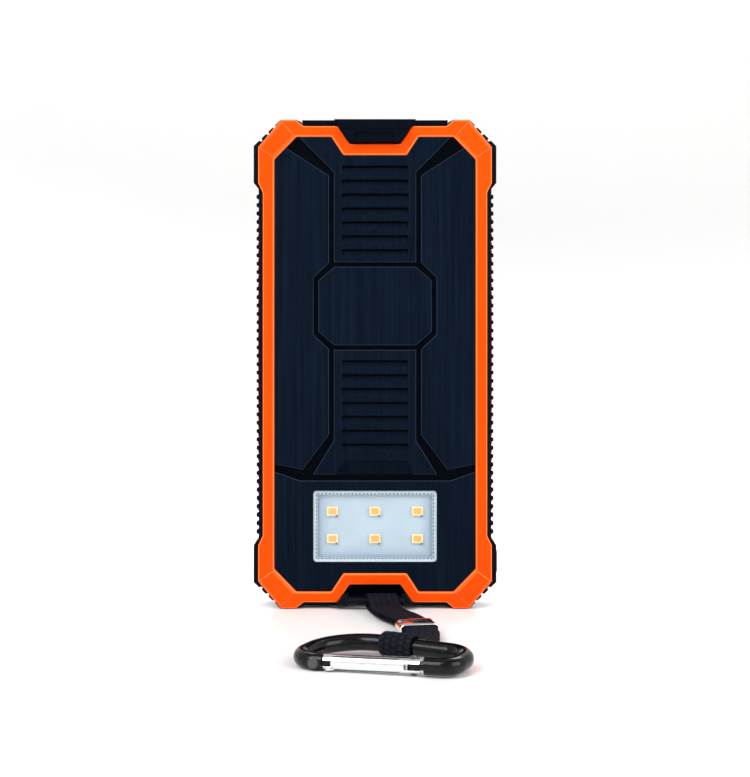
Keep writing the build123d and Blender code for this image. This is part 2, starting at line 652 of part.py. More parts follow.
with BuildPart() as battery_cell_front:
    battery_cell(BACK_INSIDE_Y + CELL_THICK)

with BuildPart() as foam_pad:
    block((-25.0, 25.0), (BACK_INSIDE_Y + 2 * CELL_THICK, FRONT_INSIDE_Y), (50.0, 107.0))

with BuildPart() as protection_board:
    block((-14.0, 14.0), (-2.0, 3.0), (BATTERY_Z[1], BATTERY_Z[1] + 1.0))

LANE_X = 30.4  # wires run up between the battery and the wall


def side_lead(start, y, board_x, radius):
    """A wire from a small board, up the lane beside the battery, to the main board."""
    lead(
        [start, (start[0] - 2.5, y, start[2]), (start[0] - 2.5, y, 34.0), (LANE_X, y, 42.0),
         (LANE_X, y, 115.5), (board_x, y, 119.0), (board_x, y, 121.5), (board_x, COMPONENT_Y, 121.5)],
        radius, 0.7,
    )


def lamp_lead(lamp_x, y, board_x):
    """A wire from the lamp's board, up the same lane, to the main board."""
    lead(
        [(lamp_x, LED_BOARD_Y[1], 36.5), (lamp_x, y, 36.5), (LANE_X, y, 42.0), (LANE_X, y, 116.0),
         (board_x, y, 120.8), (board_x, COMPONENT_Y, 120.8)],
        0.5, 0.8,
    )


def battery_lead(x):
    """A thicker wire from the protection board to the main board."""
    lead([(x, 0.8, BATTERY_Z[1] + 1), (x, 0.8, 122.5), (x, COMPONENT_Y, 122.5)], 0.7, 1.5)


def solar_lead(panel_x, y, board_x, board_z):
    """A wire from the back of the solar panel to the main board."""
    lead(
        [(panel_x, PANEL_Y[0], SOLAR_LEADS_Z), (panel_x, y, SOLAR_LEADS_Z),
         (board_x, y - 1.5, board_z), (board_x, COMPONENT_Y, board_z)],
        0.5, 0.8,
    )


with BuildPart() as lamp_lead_red:
    lamp_lead(19.0, -1.0, 20.0)

with BuildPart() as lamp_lead_black:
    lamp_lead(15.5, 0.6, 17.0)

with BuildPart() as battery_lead_red:
    battery_lead(6.0)

with BuildPart() as battery_lead_black:
    battery_lead(-6.0)

with BuildPart() as solar_lead_red:
    solar_lead(1.2, 2.5, 4.2, 137.0)

with BuildPart() as solar_lead_black:
    solar_lead(-1.2, 3.5, -6.4, 136.3)

# ---------------------------------------------------------------- power button
SWITCH_X = (27.6, 30.6)
STEM_X = 31.3

with BuildPart() as power_button:
    pad_rectangle((34.6, 35.95), (6.0, 8.6), 1.1)
    pad_rectangle((35.9, WIDTH / 2 + 0.6), (4.7, 7.2), 1.0)
    fillet(power_button.faces().sort_by(Axis.X)[-1].edges(), 0.35)
    rod((STEM_X, MID_Y, BUTTON_Z), (34.7, MID_Y, BUTTON_Z), STEM_R)

with BuildPart() as switch_plunger:
    rod((29.5, MID_Y, BUTTON_Z), (STEM_X, MID_Y, BUTTON_Z), 0.9)

with BuildPart() as tact_switch:
    block(SWITCH_X, (MID_Y - 3, MID_Y + 3), (BUTTON_Z - 3, BUTTON_Z + 3))
    rod((28.7, MID_Y, BUTTON_Z), (31.0, MID_Y, BUTTON_Z), 0.9 + RUNNING, Mode.SUBTRACT)

with BuildPart() as button_board:
    block((SWITCH_X[0] - 1.0, SWITCH_X[0]), (BACK_INSIDE_Y, FRONT_INSIDE_Y), (8.0, 21.0))

with BuildPart() as button_lead_white:
    side_lead((SWITCH_X[0] - 1.0, 2.6, 17.0), 2.6, 13.0, 0.4)

with BuildPart() as button_lead_blue:
    side_lead((SWITCH_X[0] - 1.0, 4.2, 19.0), 4.2, 10.5, 0.4)

# ---------------------------------------------------------------- lanyard bar
with BuildPart() as lanyard_bar:
    ear = [(8.4, 4.9), (8.1 + POCKET_SLOPE * 2.9, 4.9), (8.1 + POCKET_SLOPE * 6.6, 1.2), (8.4, 1.2)]
    slab(across(ear), BAR_Y - 0.6, POCKET_Y)
    chamfer(lanyard_bar.faces().sort_by(Axis.Y)[:2].edges(), 0.4)
    rod((-9.5, BAR_Y, BAR_Z), (9.5, BAR_Y, BAR_Z), BAR_R)

# ---------------------------------------------------------------- lanyard
route_radii = []
for before, corner, after in zip(STRAP_ROUTE, STRAP_ROUTE[1:], STRAP_ROUTE[2:]):
    arriving = Vector(*corner) - Vector(*before)
    leaving = Vector(*after) - Vector(*corner)
    turn = arriving.get_angle(leaving) * pi / 180
    route_radii.append(0.45 * min(arriving.length, leaving.length) / tan(turn / 2))
print("lanyard bend radii:", [round(radius, 1) for radius in route_radii])

strap_end = Vector(*STRAP_ROUTE[-1], SPINE_Z)
last_run = (Vector(*STRAP_ROUTE[-1]) - Vector(*STRAP_ROUTE[-2])).normalized()
spine_way = Vector(last_run.Y, -last_run.X, 0)
tilt = asin((SPINE_Z - HOOK_R) / HOOK_REACH)
reach_way = Vector(last_run.X * cos(tilt), last_run.Y * cos(tilt), -sin(tilt))
hook_plane = Plane(origin=strap_end - spine_way * LOOP_AT, x_dir=spine_way, z_dir=spine_way.cross(reach_way))
half_strap = STRAP_WIDTH / 2
strap_start = Vector(*STRAP_ROUTE[0], BAR_Z)

with BuildPart() as strap_webbing:
    with BuildSketch(Plane.XY.offset(STRAP_Z - STRAP_THICK / 2)):
        with BuildLine():
            FilletPolyline(*STRAP_ROUTE, radius=route_radii)
        trace(line_width=STRAP_WIDTH)
    extrude(amount=STRAP_THICK)
    rod(strap_start - Vector(half_strap, 0, 0), strap_start + Vector(half_strap, 0, 0), BAR_R + RUNNING + WEB)
    rod(strap_end - spine_way * half_strap, strap_end + spine_way * half_strap, HOOK_R + RUNNING + WEB)
    rod(
        strap_start - Vector(STRAP_WIDTH, 0, 0), strap_start + Vector(STRAP_WIDTH, 0, 0),
        BAR_R + RUNNING, Mode.SUBTRACT,
    )
    rod(
        strap_end - spine_way * STRAP_WIDTH, strap_end + spine_way * STRAP_WIDTH,
        HOOK_R + RUNNING, Mode.SUBTRACT,
    )

crimp_run = (Vector(*STRAP_ROUTE[3]) - Vector(*STRAP_ROUTE[2])).normalized()
crimp_middle = Vector(*STRAP_ROUTE[2]) + crimp_run * CRIMP_FROM_BEND

with BuildPart() as strap_crimp:
    with BuildSketch(Plane(origin=crimp_middle - crimp_run * CRIMP[0] / 2, x_dir=(0, 0, 1), z_dir=crimp_run)):
        with Locations((CRIMP[2] / 2, 0)):
            RectangleRounded(CRIMP[2], CRIMP[1], 1.2)
        with Locations((STRAP_Z, 0)):
            Rectangle(STRAP_THICK + 0.1, STRAP_WIDTH + 0.4, mode=Mode.SUBTRACT)
    extrude(amount=CRIMP[0])


# ---------------------------------------------------------------- snap hook
def on_gate(t, side=0.0):
    """A point t along the gate's line, side to its outer side, in the hook's own plane."""
    return (
        GATE_ORIGIN[0] + GATE_SLOPE[0] * t - GATE_SLOPE[1] * side,
        GATE_ORIGIN[1] + GATE_SLOPE[1] * t + GATE_SLOPE[0] * side,
    )


def gate_slab(t_range, half_high, half_thick, mode=Mode.ADD):
    """A flat piece along the gate's line, centred on the hook's plane."""
    corners = [(t, side) for t in t_range for side in (-half_high, half_high)]
    corners[2:] = reversed(corners[2:])
    with BuildSketch(hook_plane.offset(-half_thick)) as profile:
        Polygon(*[on_gate(t, side) for t, side in corners], align=None)
    extrude(profile.sketch, amount=2 * half_thick, mode=mode)


def gate_rod(t_range, radius, mode=Mode.ADD):
    """A round piece along the gate's line."""
    start, end = (hook_plane.from_local_coords(Vector(*on_gate(t), 0)) for t in t_range)
    rod(start, end, radius, mode)


def hook_pin(radius, half_long, mode=Mode.ADD):
    """A round piece across the hook at the rivet."""
    with BuildSketch(hook_plane.offset(-half_long)) as profile:
        with Locations(on_gate(RIVET_AT)):
            Circle(radius)
    extrude(profile.sketch, amount=2 * half_long, mode=mode)


NARROW_U = -7.0
WIDE_U = 34.7
FRAME_START = RIVET_AT - 2.9
TONGUE_HALF = 0.75
BLADE_HALF = 0.65
GATE_END = NOSE_AT - 0.4
RIVET_R = 0.6
SPRING_AT = (RIVET_AT + 2.5, RIVET_AT + 11.0)
SPRING_R = 0.9


def gate_line_at(u):
    """The point where the gate's line reaches a distance u along the spine."""
    return on_gate((u - GATE_ORIGIN[0]) / GATE_SLOPE[0])


with BuildPart() as carabiner_frame:
    with BuildLine(hook_plane) as hook_line:
        FilletPolyline(
            on_gate(FRAME_START), gate_line_at(NARROW_U), (NARROW_U, 0), (WIDE_U, 0),
            gate_line_at(WIDE_U), on_gate(NOSE_AT),
            radius=[3.9, 7.0, 14.0, 5.5],
        )
    with BuildSketch(Plane(origin=hook_line.line @ 0, z_dir=hook_line.line % 0)):
        Circle(HOOK_R)
    sweep()
    gate_slab((FRAME_START - 0.3, RIVET_AT), 1.6, TONGUE_HALF)
    hook_pin(1.6, TONGUE_HALF)
    hook_pin(RIVET_R + RUNNING, 2.0, Mode.SUBTRACT)
    gate_slab((NOSE_AT - 2.2, NOSE_AT + 0.3), 1.3, BLADE_HALF)


with BuildPart() as carabiner_gate:
    gate_rod((RIVET_AT - 1.9, GATE_END), GATE_R)
    gate_slab((RIVET_AT - 3.0, RIVET_AT + 2.3), 3.0, TONGUE_HALF + 0.1, Mode.SUBTRACT)
    gate_slab((NOSE_AT - 2.5, NOSE_AT + 1.0), 3.0, BLADE_HALF + 0.1, Mode.SUBTRACT)
    gate_rod((RIVET_AT + 2.0, SPRING_AT[1]), SPRING_R, Mode.SUBTRACT)
    hook_pin(RIVET_R, 3.0, Mode.SUBTRACT)

with BuildPart() as gate_rivet:
    hook_pin(RIVET_R, GATE_R + 0.1)

with BuildPart() as gate_spring:
    gate_rod(SPRING_AT, SPRING_R)
    gate_rod(SPRING_AT, 0.5, Mode.SUBTRACT)

# ---------------------------------------------------------------- write the pieces
pieces = {
    "back_shell": back_shell,
    "front_shell": front_shell,
    "shell_seal": shell_seal,
    "back_bezel": back_bezel,
    "front_bezel": front_bezel,
    "armour_band": armour_band,
    "grip_right": grip_right,
    "grip_left": grip_left,
    "solar_backing": solar_backing,
    "solar_cells": solar_cells,
    "solar_glass": solar_glass,
    "lamp_lens": lamp_lens,
    "lamp_board": lamp_board,
    "lamp_leds": lamp_leds,
    "lamp_phosphors": lamp_phosphors,
    "port_cover": port_cover,
    "usb_socket_left": usb_socket_left,
    "usb_socket_right": usb_socket_right,
    "usb_insulator_left": usb_insulator_left,
    "usb_insulator_right": usb_insulator_right,
    "micro_usb_socket": micro_usb_socket,
    "micro_usb_tongue": micro_usb_tongue,
    "main_board": main_board,
    "board_screws": board_screws,
    "power_chips": power_chips,
    "power_inductor": power_inductor,
    "filter_capacitors": filter_capacitors,
    "battery_cell_rear": battery_cell_rear,
    "battery_cell_front": battery_cell_front,
    "foam_pad": foam_pad,
    "protection_board": protection_board,
    "lamp_lead_red": lamp_lead_red,
    "lamp_lead_black": lamp_lead_black,
    "battery_lead_red": battery_lead_red,
    "battery_lead_black": battery_lead_black,
    "solar_lead_red": solar_lead_red,
    "solar_lead_black": solar_lead_black,
    "power_button": power_button,
    "switch_plunger": switch_plunger,
    "tact_switch": tact_switch,
    "button_board": button_board,
    "button_lead_white": button_lead_white,
    "button_lead_blue": button_lead_blue,
    "lanyard_bar": lanyard_bar,
    "strap_webbing": strap_webbing,
    "strap_crimp": strap_crimp,
    "carabiner_frame": carabiner_frame,
    "carabiner_gate": carabiner_gate,
    "gate_rivet": gate_rivet,
    "gate_spring": gate_spring,
}
for label, piece in pieces.items():
    piece.part.label = label
    export_step(piece.part, f"parts/{label}.step")
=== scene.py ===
"""Looks of a rugged solar phone charger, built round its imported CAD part.

Lengths in this script are in mm, and MM turns them to Blender's metres. The studio's are in metres.
"""

import json
from math import ceil, cos, floor, pi, radians, sin

import bmesh
import bpy
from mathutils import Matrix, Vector


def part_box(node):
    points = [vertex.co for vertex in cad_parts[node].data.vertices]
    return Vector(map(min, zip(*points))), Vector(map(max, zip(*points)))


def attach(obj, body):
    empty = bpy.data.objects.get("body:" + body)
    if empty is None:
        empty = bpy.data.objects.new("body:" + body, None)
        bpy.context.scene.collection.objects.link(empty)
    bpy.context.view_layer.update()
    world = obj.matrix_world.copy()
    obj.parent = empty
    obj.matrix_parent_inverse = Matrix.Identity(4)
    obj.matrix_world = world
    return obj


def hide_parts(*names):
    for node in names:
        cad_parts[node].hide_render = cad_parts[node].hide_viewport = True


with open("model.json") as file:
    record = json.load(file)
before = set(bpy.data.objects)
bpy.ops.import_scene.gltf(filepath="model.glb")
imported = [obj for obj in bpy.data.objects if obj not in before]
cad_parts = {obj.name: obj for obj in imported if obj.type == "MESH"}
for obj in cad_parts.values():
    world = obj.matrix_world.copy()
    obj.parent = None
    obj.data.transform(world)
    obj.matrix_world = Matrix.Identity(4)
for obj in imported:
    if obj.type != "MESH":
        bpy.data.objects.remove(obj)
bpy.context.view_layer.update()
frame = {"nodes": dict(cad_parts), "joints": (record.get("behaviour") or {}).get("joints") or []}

MM = 0.001

# Places on the CAD part that its finishes follow
FIELD_Y = -6.62  # just under the cover's raised fields
GROOVE_Y = -6.12  # floor of the grooves between them
GRIP_CREST_X = 37.2
GRIP_ROOT_X = 36.7
WINDOW = (39.2, 22.6)
WINDOW_Z = 26.1


# ---------------------------------------------------------------- materials
class Finish:
    """A node material that is built up from small patterns laid in the part's own coordinates."""

    def __init__(self, name, colour, roughness, metallic=0.0, specular=0.5):
        self.material = bpy.data.materials.new(name)
        self.material.use_nodes = True
        self.material.diffuse_color = (*colour, 1)
        self.nodes = self.material.node_tree.nodes
        self.links = self.material.node_tree.links
        self.shader = self.nodes["Principled BSDF"]
        self.colour = (*colour, 1)
        self.put(**{
            "Base Color": self.colour, "Roughness": roughness, "Metallic": metallic,
            "Specular IOR Level": specular,
        })
        self.place = self.nodes.new("ShaderNodeTexCoord").outputs["Object"]
        self.normal = None

    def feed(self, socket, value):
        """Links a socket to another one, or sets its value."""
        if isinstance(value, bpy.types.NodeSocket):
            self.links.new(value, socket)
        else:
            socket.default_value = value

    def put(self, **values):
        """Sets inputs of the surface shader by name."""
        for name, value in values.items():
            self.feed(self.shader.inputs[name], value)

    def scaled(self, per_mm):
        """The part's coordinates, with so many pattern steps per mm along x, y and z."""
        node = self.nodes.new("ShaderNodeVectorMath")
        node.operation = "MULTIPLY"
        self.feed(node.inputs[0], self.place)
        node.inputs[1].default_value = [step / MM for step in per_mm]
        return node.outputs[0]

    def noise(self, per_mm, detail=2.0):
        node = self.nodes.new("ShaderNodeTexNoise")
        self.feed(node.inputs["Vector"], self.scaled(per_mm))
        node.inputs["Scale"].default_value = 1.0
        node.inputs["Detail"].default_value = detail
        return node.outputs["Fac"]

    def axis(self, name):
        """One of the part's coordinates in mm."""
        node = self.nodes.new("ShaderNodeSeparateXYZ")
        self.feed(node.inputs[0], self.scaled((1, 1, 1)))
        return node.outputs[name]

    def facing(self, axis="Y"):
        """How squarely the surface looks along an axis: 1 is straight along it."""
        node = self.nodes.new("ShaderNodeSeparateXYZ")
        self.feed(node.inputs[0], self.nodes.new("ShaderNodeNewGeometry").outputs["True Normal"])
        return self.maths("ABSOLUTE", node.outputs[axis])

    def stored(self, name):
        """A value stored on the mesh."""
        node = self.nodes.new("ShaderNodeAttribute")
        node.attribute_name = name
        return node.outputs["Fac"]

    def maths(self, operation, *values):
        node = self.nodes.new("ShaderNodeMath")
        node.operation = operation
        for socket, value in zip(node.inputs, values):
            self.feed(socket, value)
        return node.outputs[0]

    def span(self, value, low, high, to_low=0.0, to_high=1.0):
        """A value taken from one range to another, smoothly."""
        node = self.nodes.new("ShaderNodeMapRange")
        node.interpolation_type = "SMOOTHSTEP"
        for socket, number in zip(node.inputs, (value, low, high, to_low, to_high)):
            self.feed(socket, number)
        return node.outputs[0]

    def band(self, value, low, low_full, high_full, high):
        """1 for a value inside a range, fading to 0 past each end of it."""
        return self.maths("MULTIPLY", self.span(value, high, high_full), self.span(value, low, low_full))

    def blend(self, factor, first, second):
        node = self.nodes.new("ShaderNodeMix")
        node.data_type = "RGBA"
        self.feed(node.inputs["Factor"], factor)
        for name, value in (("A", first), ("B", second)):
            socket = [one for one in node.inputs if one.name == name and one.type == "RGBA"][0]
            self.feed(socket, value if isinstance(value, bpy.types.NodeSocket) else (*value[:3], 1))
        return [one for one in node.outputs if one.type == "RGBA"][0]

    def tint(self, factor, second, amount=1.0):
        """Mixes the colour so far with a second one."""
        socket = self.shader.inputs["Base Color"]
        first = socket.links[0].from_socket if socket.is_linked else self.colour
        self.feed(socket, self.blend(self.maths("MULTIPLY", factor, amount), first, second))

    def soft_edges(self, radius):
        node = self.nodes.new("ShaderNodeBevel")
        node.samples = 4
        node.inputs["Radius"].default_value = radius * MM
        self.normal = node.outputs[0]
        self.put(Normal=self.normal)

    def bump(self, height, depth):
        """Adds relief that is depth mm high."""
        node = self.nodes.new("ShaderNodeBump")
        node.inputs["Distance"].default_value = depth * MM
        self.feed(node.inputs["Height"], height)
        if self.normal is not None:
            self.feed(node.inputs["Normal"], self.normal)
        self.normal = node.outputs[0]
        self.put(Normal=self.normal)


def brushed_cover():
    """Dark blue moulding: fine lines brushed along its length, painted shade in its grooves and painted
    highlights on its bevels.
    """
    finish = Finish("brushed_cover", (0.0014, 0.0039, 0.0096), 0.5, specular=0.02)
    finish.soft_edges(0.1)
    fine = finish.noise((3.2, 3.2, 0.03), 3)
    broad = finish.noise((0.9, 0.9, 0.012))
    finish.tint(finish.span(fine, 0.42, 0.66), (0.0031, 0.0076, 0.0168), 0.8)
    finish.tint(finish.span(broad, 0.5, 0.7), (0.0009, 0.0025, 0.0062), 0.5)
    facing = finish.facing()
    # painted shade darkens the grooves by their depth; the louvres' long slopes get less of it and stay
    # nearly as light as the raised fields
    louvre = finish.band(facing, 0.88, 0.91, 0.95, 0.97)
    sunk = finish.span(finish.axis("Y"), FIELD_Y, GROOVE_Y)
    painted_groove_shade = finish.maths("MULTIPLY", sunk, finish.span(louvre, 0.0, 1.0, 1.0, 0.3))
    finish.tint(painted_groove_shade, (0.0001, 0.0006, 0.0018), 0.95)
    # painted highlight on the slanting bevels round the fields
    finish.tint(finish.band(facing, 0.5, 0.6, 0.8, 0.9), (0.026, 0.038, 0.058), 0.8)
    finish.put(Roughness=finish.span(fine, 0.3, 0.7, 0.44, 0.6))
    finish.bump(fine, 0.012)
    return finish


def dark_plastic():
    finish = Finish("dark_plastic", (0.0015, 0.0022, 0.0045), 0.45, specular=0.07)
    finish.soft_edges(0.15)
    grain = finish.noise((5, 5, 5))
    finish.tint(finish.span(grain, 0.4, 0.7), (0.004, 0.0055, 0.009), 0.6)
    finish.bump(grain, 0.01)
    return finish


def port_cover_rubber():
    finish = Finish("port_cover_rubber", (0.0006, 0.0018, 0.0050), 0.45, specular=0.03)
    finish.soft_edges(0.3)
    grain = finish.noise((4, 4, 4))
    finish.tint(finish.span(grain, 0.4, 0.7), (0.0014, 0.0034, 0.0085), 0.6)
    finish.put(Roughness=finish.span(grain, 0.3, 0.7, 0.42, 0.6))
    finish.bump(grain, 0.015)
    return finish


def armour_rubber(name="armour_rubber"):
    finish = Finish(name, (0.0007, 0.0021, 0.0062), 0.5, specular=0.05)
    finish.soft_edges(0.2)
    grain = finish.noise((6, 6, 6), 3)
    dust = finish.noise((0.35, 0.35, 0.35))
    finish.tint(finish.span(grain, 0.45, 0.7), (0.0020, 0.0046, 0.0105), 0.6)
    finish.put(Roughness=finish.span(dust, 0.3, 0.7, 0.5, 0.64))
    finish.bump(grain, 0.02)
    return finish


def button_rubber():
    """The armour's rubber, with a painted highlight round the rim of the button."""
    finish = armour_rubber("button_rubber")
    # painted highlight on the sloping faces of the button's rim
    finish.tint(finish.band(finish.facing("X"), 0.1, 0.3, 0.85, 0.97), (0.03, 0.045, 0.062), 0.8)
    return finish


def orange_bezel():
    """Satin moulded orange plastic with painted highlights on its bevelled rims."""
    finish = Finish("orange_bezel", (1.0, 0.058, 0.0), 0.34, specular=0.06)
    finish.soft_edges(0.45)
    flow = finish.noise((0.05, 0.05, 0.03))
    grain = finish.noise((7, 7, 7))
    finish.tint(finish.span(flow, 0.35, 0.7), (0.94, 0.047, 0.0), 0.6)
    # painted highlight on the bevels, picked by how they slant
    finish.tint(finish.band(finish.facing(), 0.4, 0.55, 0.85, 0.93), (1.0, 0.24, 0.055), 0.6)
    finish.put(Roughness=finish.span(grain, 0.3, 0.7, 0.32, 0.42))
    finish.bump(grain, 0.006)
    return finish


def orange_grip():
    """Soft ribbed orange rubber, with painted shade that makes it darker and a little redder between its
    ribs.
    """
    finish = Finish("orange_grip", (1.0, 0.07, 0.0), 0.6, specular=0.08)
    finish.soft_edges(0.2)
    grain = finish.noise((6, 6, 6), 3)
    aside = finish.maths("ABSOLUTE", finish.axis("X"))
    # painted shade between the ribs, full at their roots
    finish.tint(finish.span(aside, GRIP_CREST_X, GRIP_ROOT_X), (0.60, 0.022, 0.0), 0.85)
    finish.tint(finish.span(grain, 0.45, 0.7), (0.9, 0.055, 0.0), 0.5)
    finish.bump(grain, 0.02)
    return finish


def solar_cell():
    """Dark blue silicon."""
    finish = Finish("solar_cell", (0.0006, 0.0020, 0.0140), 0.35, specular=0.02)
    shade = finish.noise((0.05, 0.05, 0.05))
    finish.tint(finish.span(shade, 0.35, 0.7), (0.0010, 0.0036, 0.0220), 0.7)
    fine = finish.noise((0.8, 0.8, 0.8))
    finish.tint(finish.span(fine, 0.45, 0.75), (0.0004, 0.0014, 0.0100), 0.5)
    return finish


def panel_backing():
    finish = Finish("panel_backing", (0.0005, 0.0012, 0.0040), 0.5, specular=0.02)
    weave = finish.noise((4, 4, 4))
    finish.tint(finish.span(weave, 0.45, 0.7), (0.0011, 0.0024, 0.0068), 0.7)
    finish.bump(weave, 0.01)
    return finish


def clear_panel(name, colour, roughness, haze):
    """Clear plate with a faint haze and slight unevenness in its gloss."""
    finish = Finish(name, colour, roughness)
    ripple = finish.noise((0.12, 0.12, 0.12))
    finish.put(
        Alpha=finish.span(ripple, 0.3, 0.7, haze * 0.8, haze * 1.2),
        Roughness=finish.span(ripple, 0.3, 0.7, roughness * 0.7, roughness * 1.4),
    )
    finish.bump(ripple, 0.004)
    return finish


def lamp_board():
    """White coated plate, with painted shade that makes it a little bluer and darker towards its sides and
    its foot.
    """
    finish = Finish("lamp_plate", (0.37, 0.46, 0.53), 0.4, specular=0.2)
    cloud = finish.noise((0.11, 0.11, 0.11), 4)
    speck = finish.noise((1.6, 1.6, 1.6), 3)
    finish.tint(finish.span(cloud, 0.4, 0.65), (0.32, 0.41, 0.48), 0.7)
    finish.tint(finish.span(speck, 0.6, 0.75), (0.26, 0.35, 0.43), 0.35)
    middle_x, side_x = 13.5, 19.0
    middle_z, foot_z = 20.0, 15.5
    side = finish.span(finish.maths("ABSOLUTE", finish.axis("X")), middle_x, side_x)
    foot = finish.span(finish.axis("Z"), middle_z, foot_z)
    # painted shade towards the plate's sides and foot, near the window's walls
    finish.tint(finish.maths("MAXIMUM", side, foot), (0.20, 0.30, 0.41), 0.75)
    finish.bump(speck, 0.01)
    return finish


def lamp_rim():
    """White surround of the lamp plate, greyer towards its inner edge."""
    finish = Finish("lamp_rim", (0.56, 0.64, 0.70), 0.35, specular=0.2)
    mist = finish.noise((1.0, 1.0, 1.0), 3)
    finish.tint(finish.span(mist, 0.4, 0.7), (0.46, 0.55, 0.62), 0.6)
    aside = finish.maths("ABSOLUTE", finish.axis("X"))
    aside = finish.maths("SUBTRACT", aside, WINDOW[0] / 2)
    above = finish.maths("ABSOLUTE", finish.maths("SUBTRACT", finish.axis("Z"), WINDOW_Z))
    above = finish.maths("SUBTRACT", above, WINDOW[1] / 2)
    from_edge = finish.maths("MAXIMUM", aside, above)
    finish.tint(finish.span(from_edge, -0.75, -0.95), (0.26, 0.36, 0.45), 0.85)
    finish.bump(mist, 0.01)
    return finish


def led_body():
    finish = Finish("led_ceramic", (0.74, 0.58, 0.30), 0.45, specular=0.2)
    grain = finish.noise((3, 3, 3))
    finish.tint(finish.span(grain, 0.4, 0.7), (0.80, 0.68, 0.42), 0.6)
    finish.bump(grain, 0.01)
    return finish


def led_phosphor():
    finish = Finish("led_phosphor", (0.78, 0.31, 0.035), 0.35, specular=0.2)
    grain = finish.noise((3.5, 3.5, 3.5), 3)
    finish.tint(finish.span(grain, 0.4, 0.7), (0.84, 0.40, 0.07), 0.7)
    # faint painted glow that brightens the phosphor
    finish.put(**{"Emission Color": (1.0, 0.55, 0.12, 1), "Emission Strength": 0.04})
    finish.bump(grain, 0.02)
    return finish


def led_mark():
    finish = Finish("led_mark", (0.06, 0.085, 0.075), 0.5)
    grain = finish.noise((6, 6, 6))
    finish.tint(finish.span(grain, 0.4, 0.7), (0.12, 0.16, 0.15), 0.6)
    return finish


def metal(name, colour, roughness, streaks=(0.3, 0.3, 5.0), staining=0.5):
    """Plated metal with fine drawing marks and slight staining."""
    finish = Finish(name, colour, roughness, metallic=1.0)
    finish.soft_edges(0.12)
    drawn = finish.noise(streaks, 3)
    stain = finish.noise((0.5, 0.5, 0.5))
    darker = [channel * 0.72 for channel in colour]
    finish.tint(finish.span(stain, 0.45, 0.75), darker, staining)
    finish.put(Roughness=finish.span(drawn, 0.3, 0.7, roughness * 0.7, roughness * 1.4))
    finish.bump(drawn, 0.002)
    return finish


def hook_black():
    """Gloss black coating over metal, with a slight orange-peel surface."""
    finish = Finish("hook_black", (0.002, 0.002, 0.0022), 0.12, specular=0.2)
    finish.soft_edges(0.15)
    peel = finish.noise((1.4, 1.4, 1.4))
    scuff = finish.noise((0.7, 0.7, 0.7), 4)
    finish.tint(finish.span(scuff, 0.62, 0.75), (0.02, 0.018, 0.016), 0.5)
    finish.put(Roughness=finish.span(scuff, 0.35, 0.75, 0.10, 0.24))
    finish.bump(peel, 0.02)
    return finish


def webbing():
    """Black nylon yarn with a navy tint, and painted highlights on the crests of its weave."""
    finish = Finish("webbing", (0.0014, 0.0021, 0.0042), 0.72, specular=0.07)
    yarn = finish.noise((6, 6, 6), 4)
    patch = finish.noise((0.4, 0.4, 0.4))
    finish.tint(finish.span(yarn, 0.42, 0.68), (0.0065, 0.0085, 0.014), 0.6)
    finish.tint(finish.span(patch, 0.4, 0.7), (0.001, 0.002, 0.0055), 0.5)
    # painted highlight on the yarns' crests, where they stand highest
    finish.tint(finish.span(finish.stored("yarn_height"), 0.35, 0.85), (0.009, 0.0115, 0.018), 0.85)
    finish.bump(yarn, 0.05)
    return finish


def plain(name, colour, second, roughness, metallic=0.0, step=3.0, depth=0.01, specular=0.5):
    """A simple moulded, printed or coated surface: two close tones and a fine grain."""
    finish = Finish(name, colour, roughness, metallic, specular)
    grain = finish.noise((step, step, step), 3)
    finish.tint(finish.span(grain, 0.4, 0.7), second, 0.7)
    finish.bump(grain, depth)
    return finish


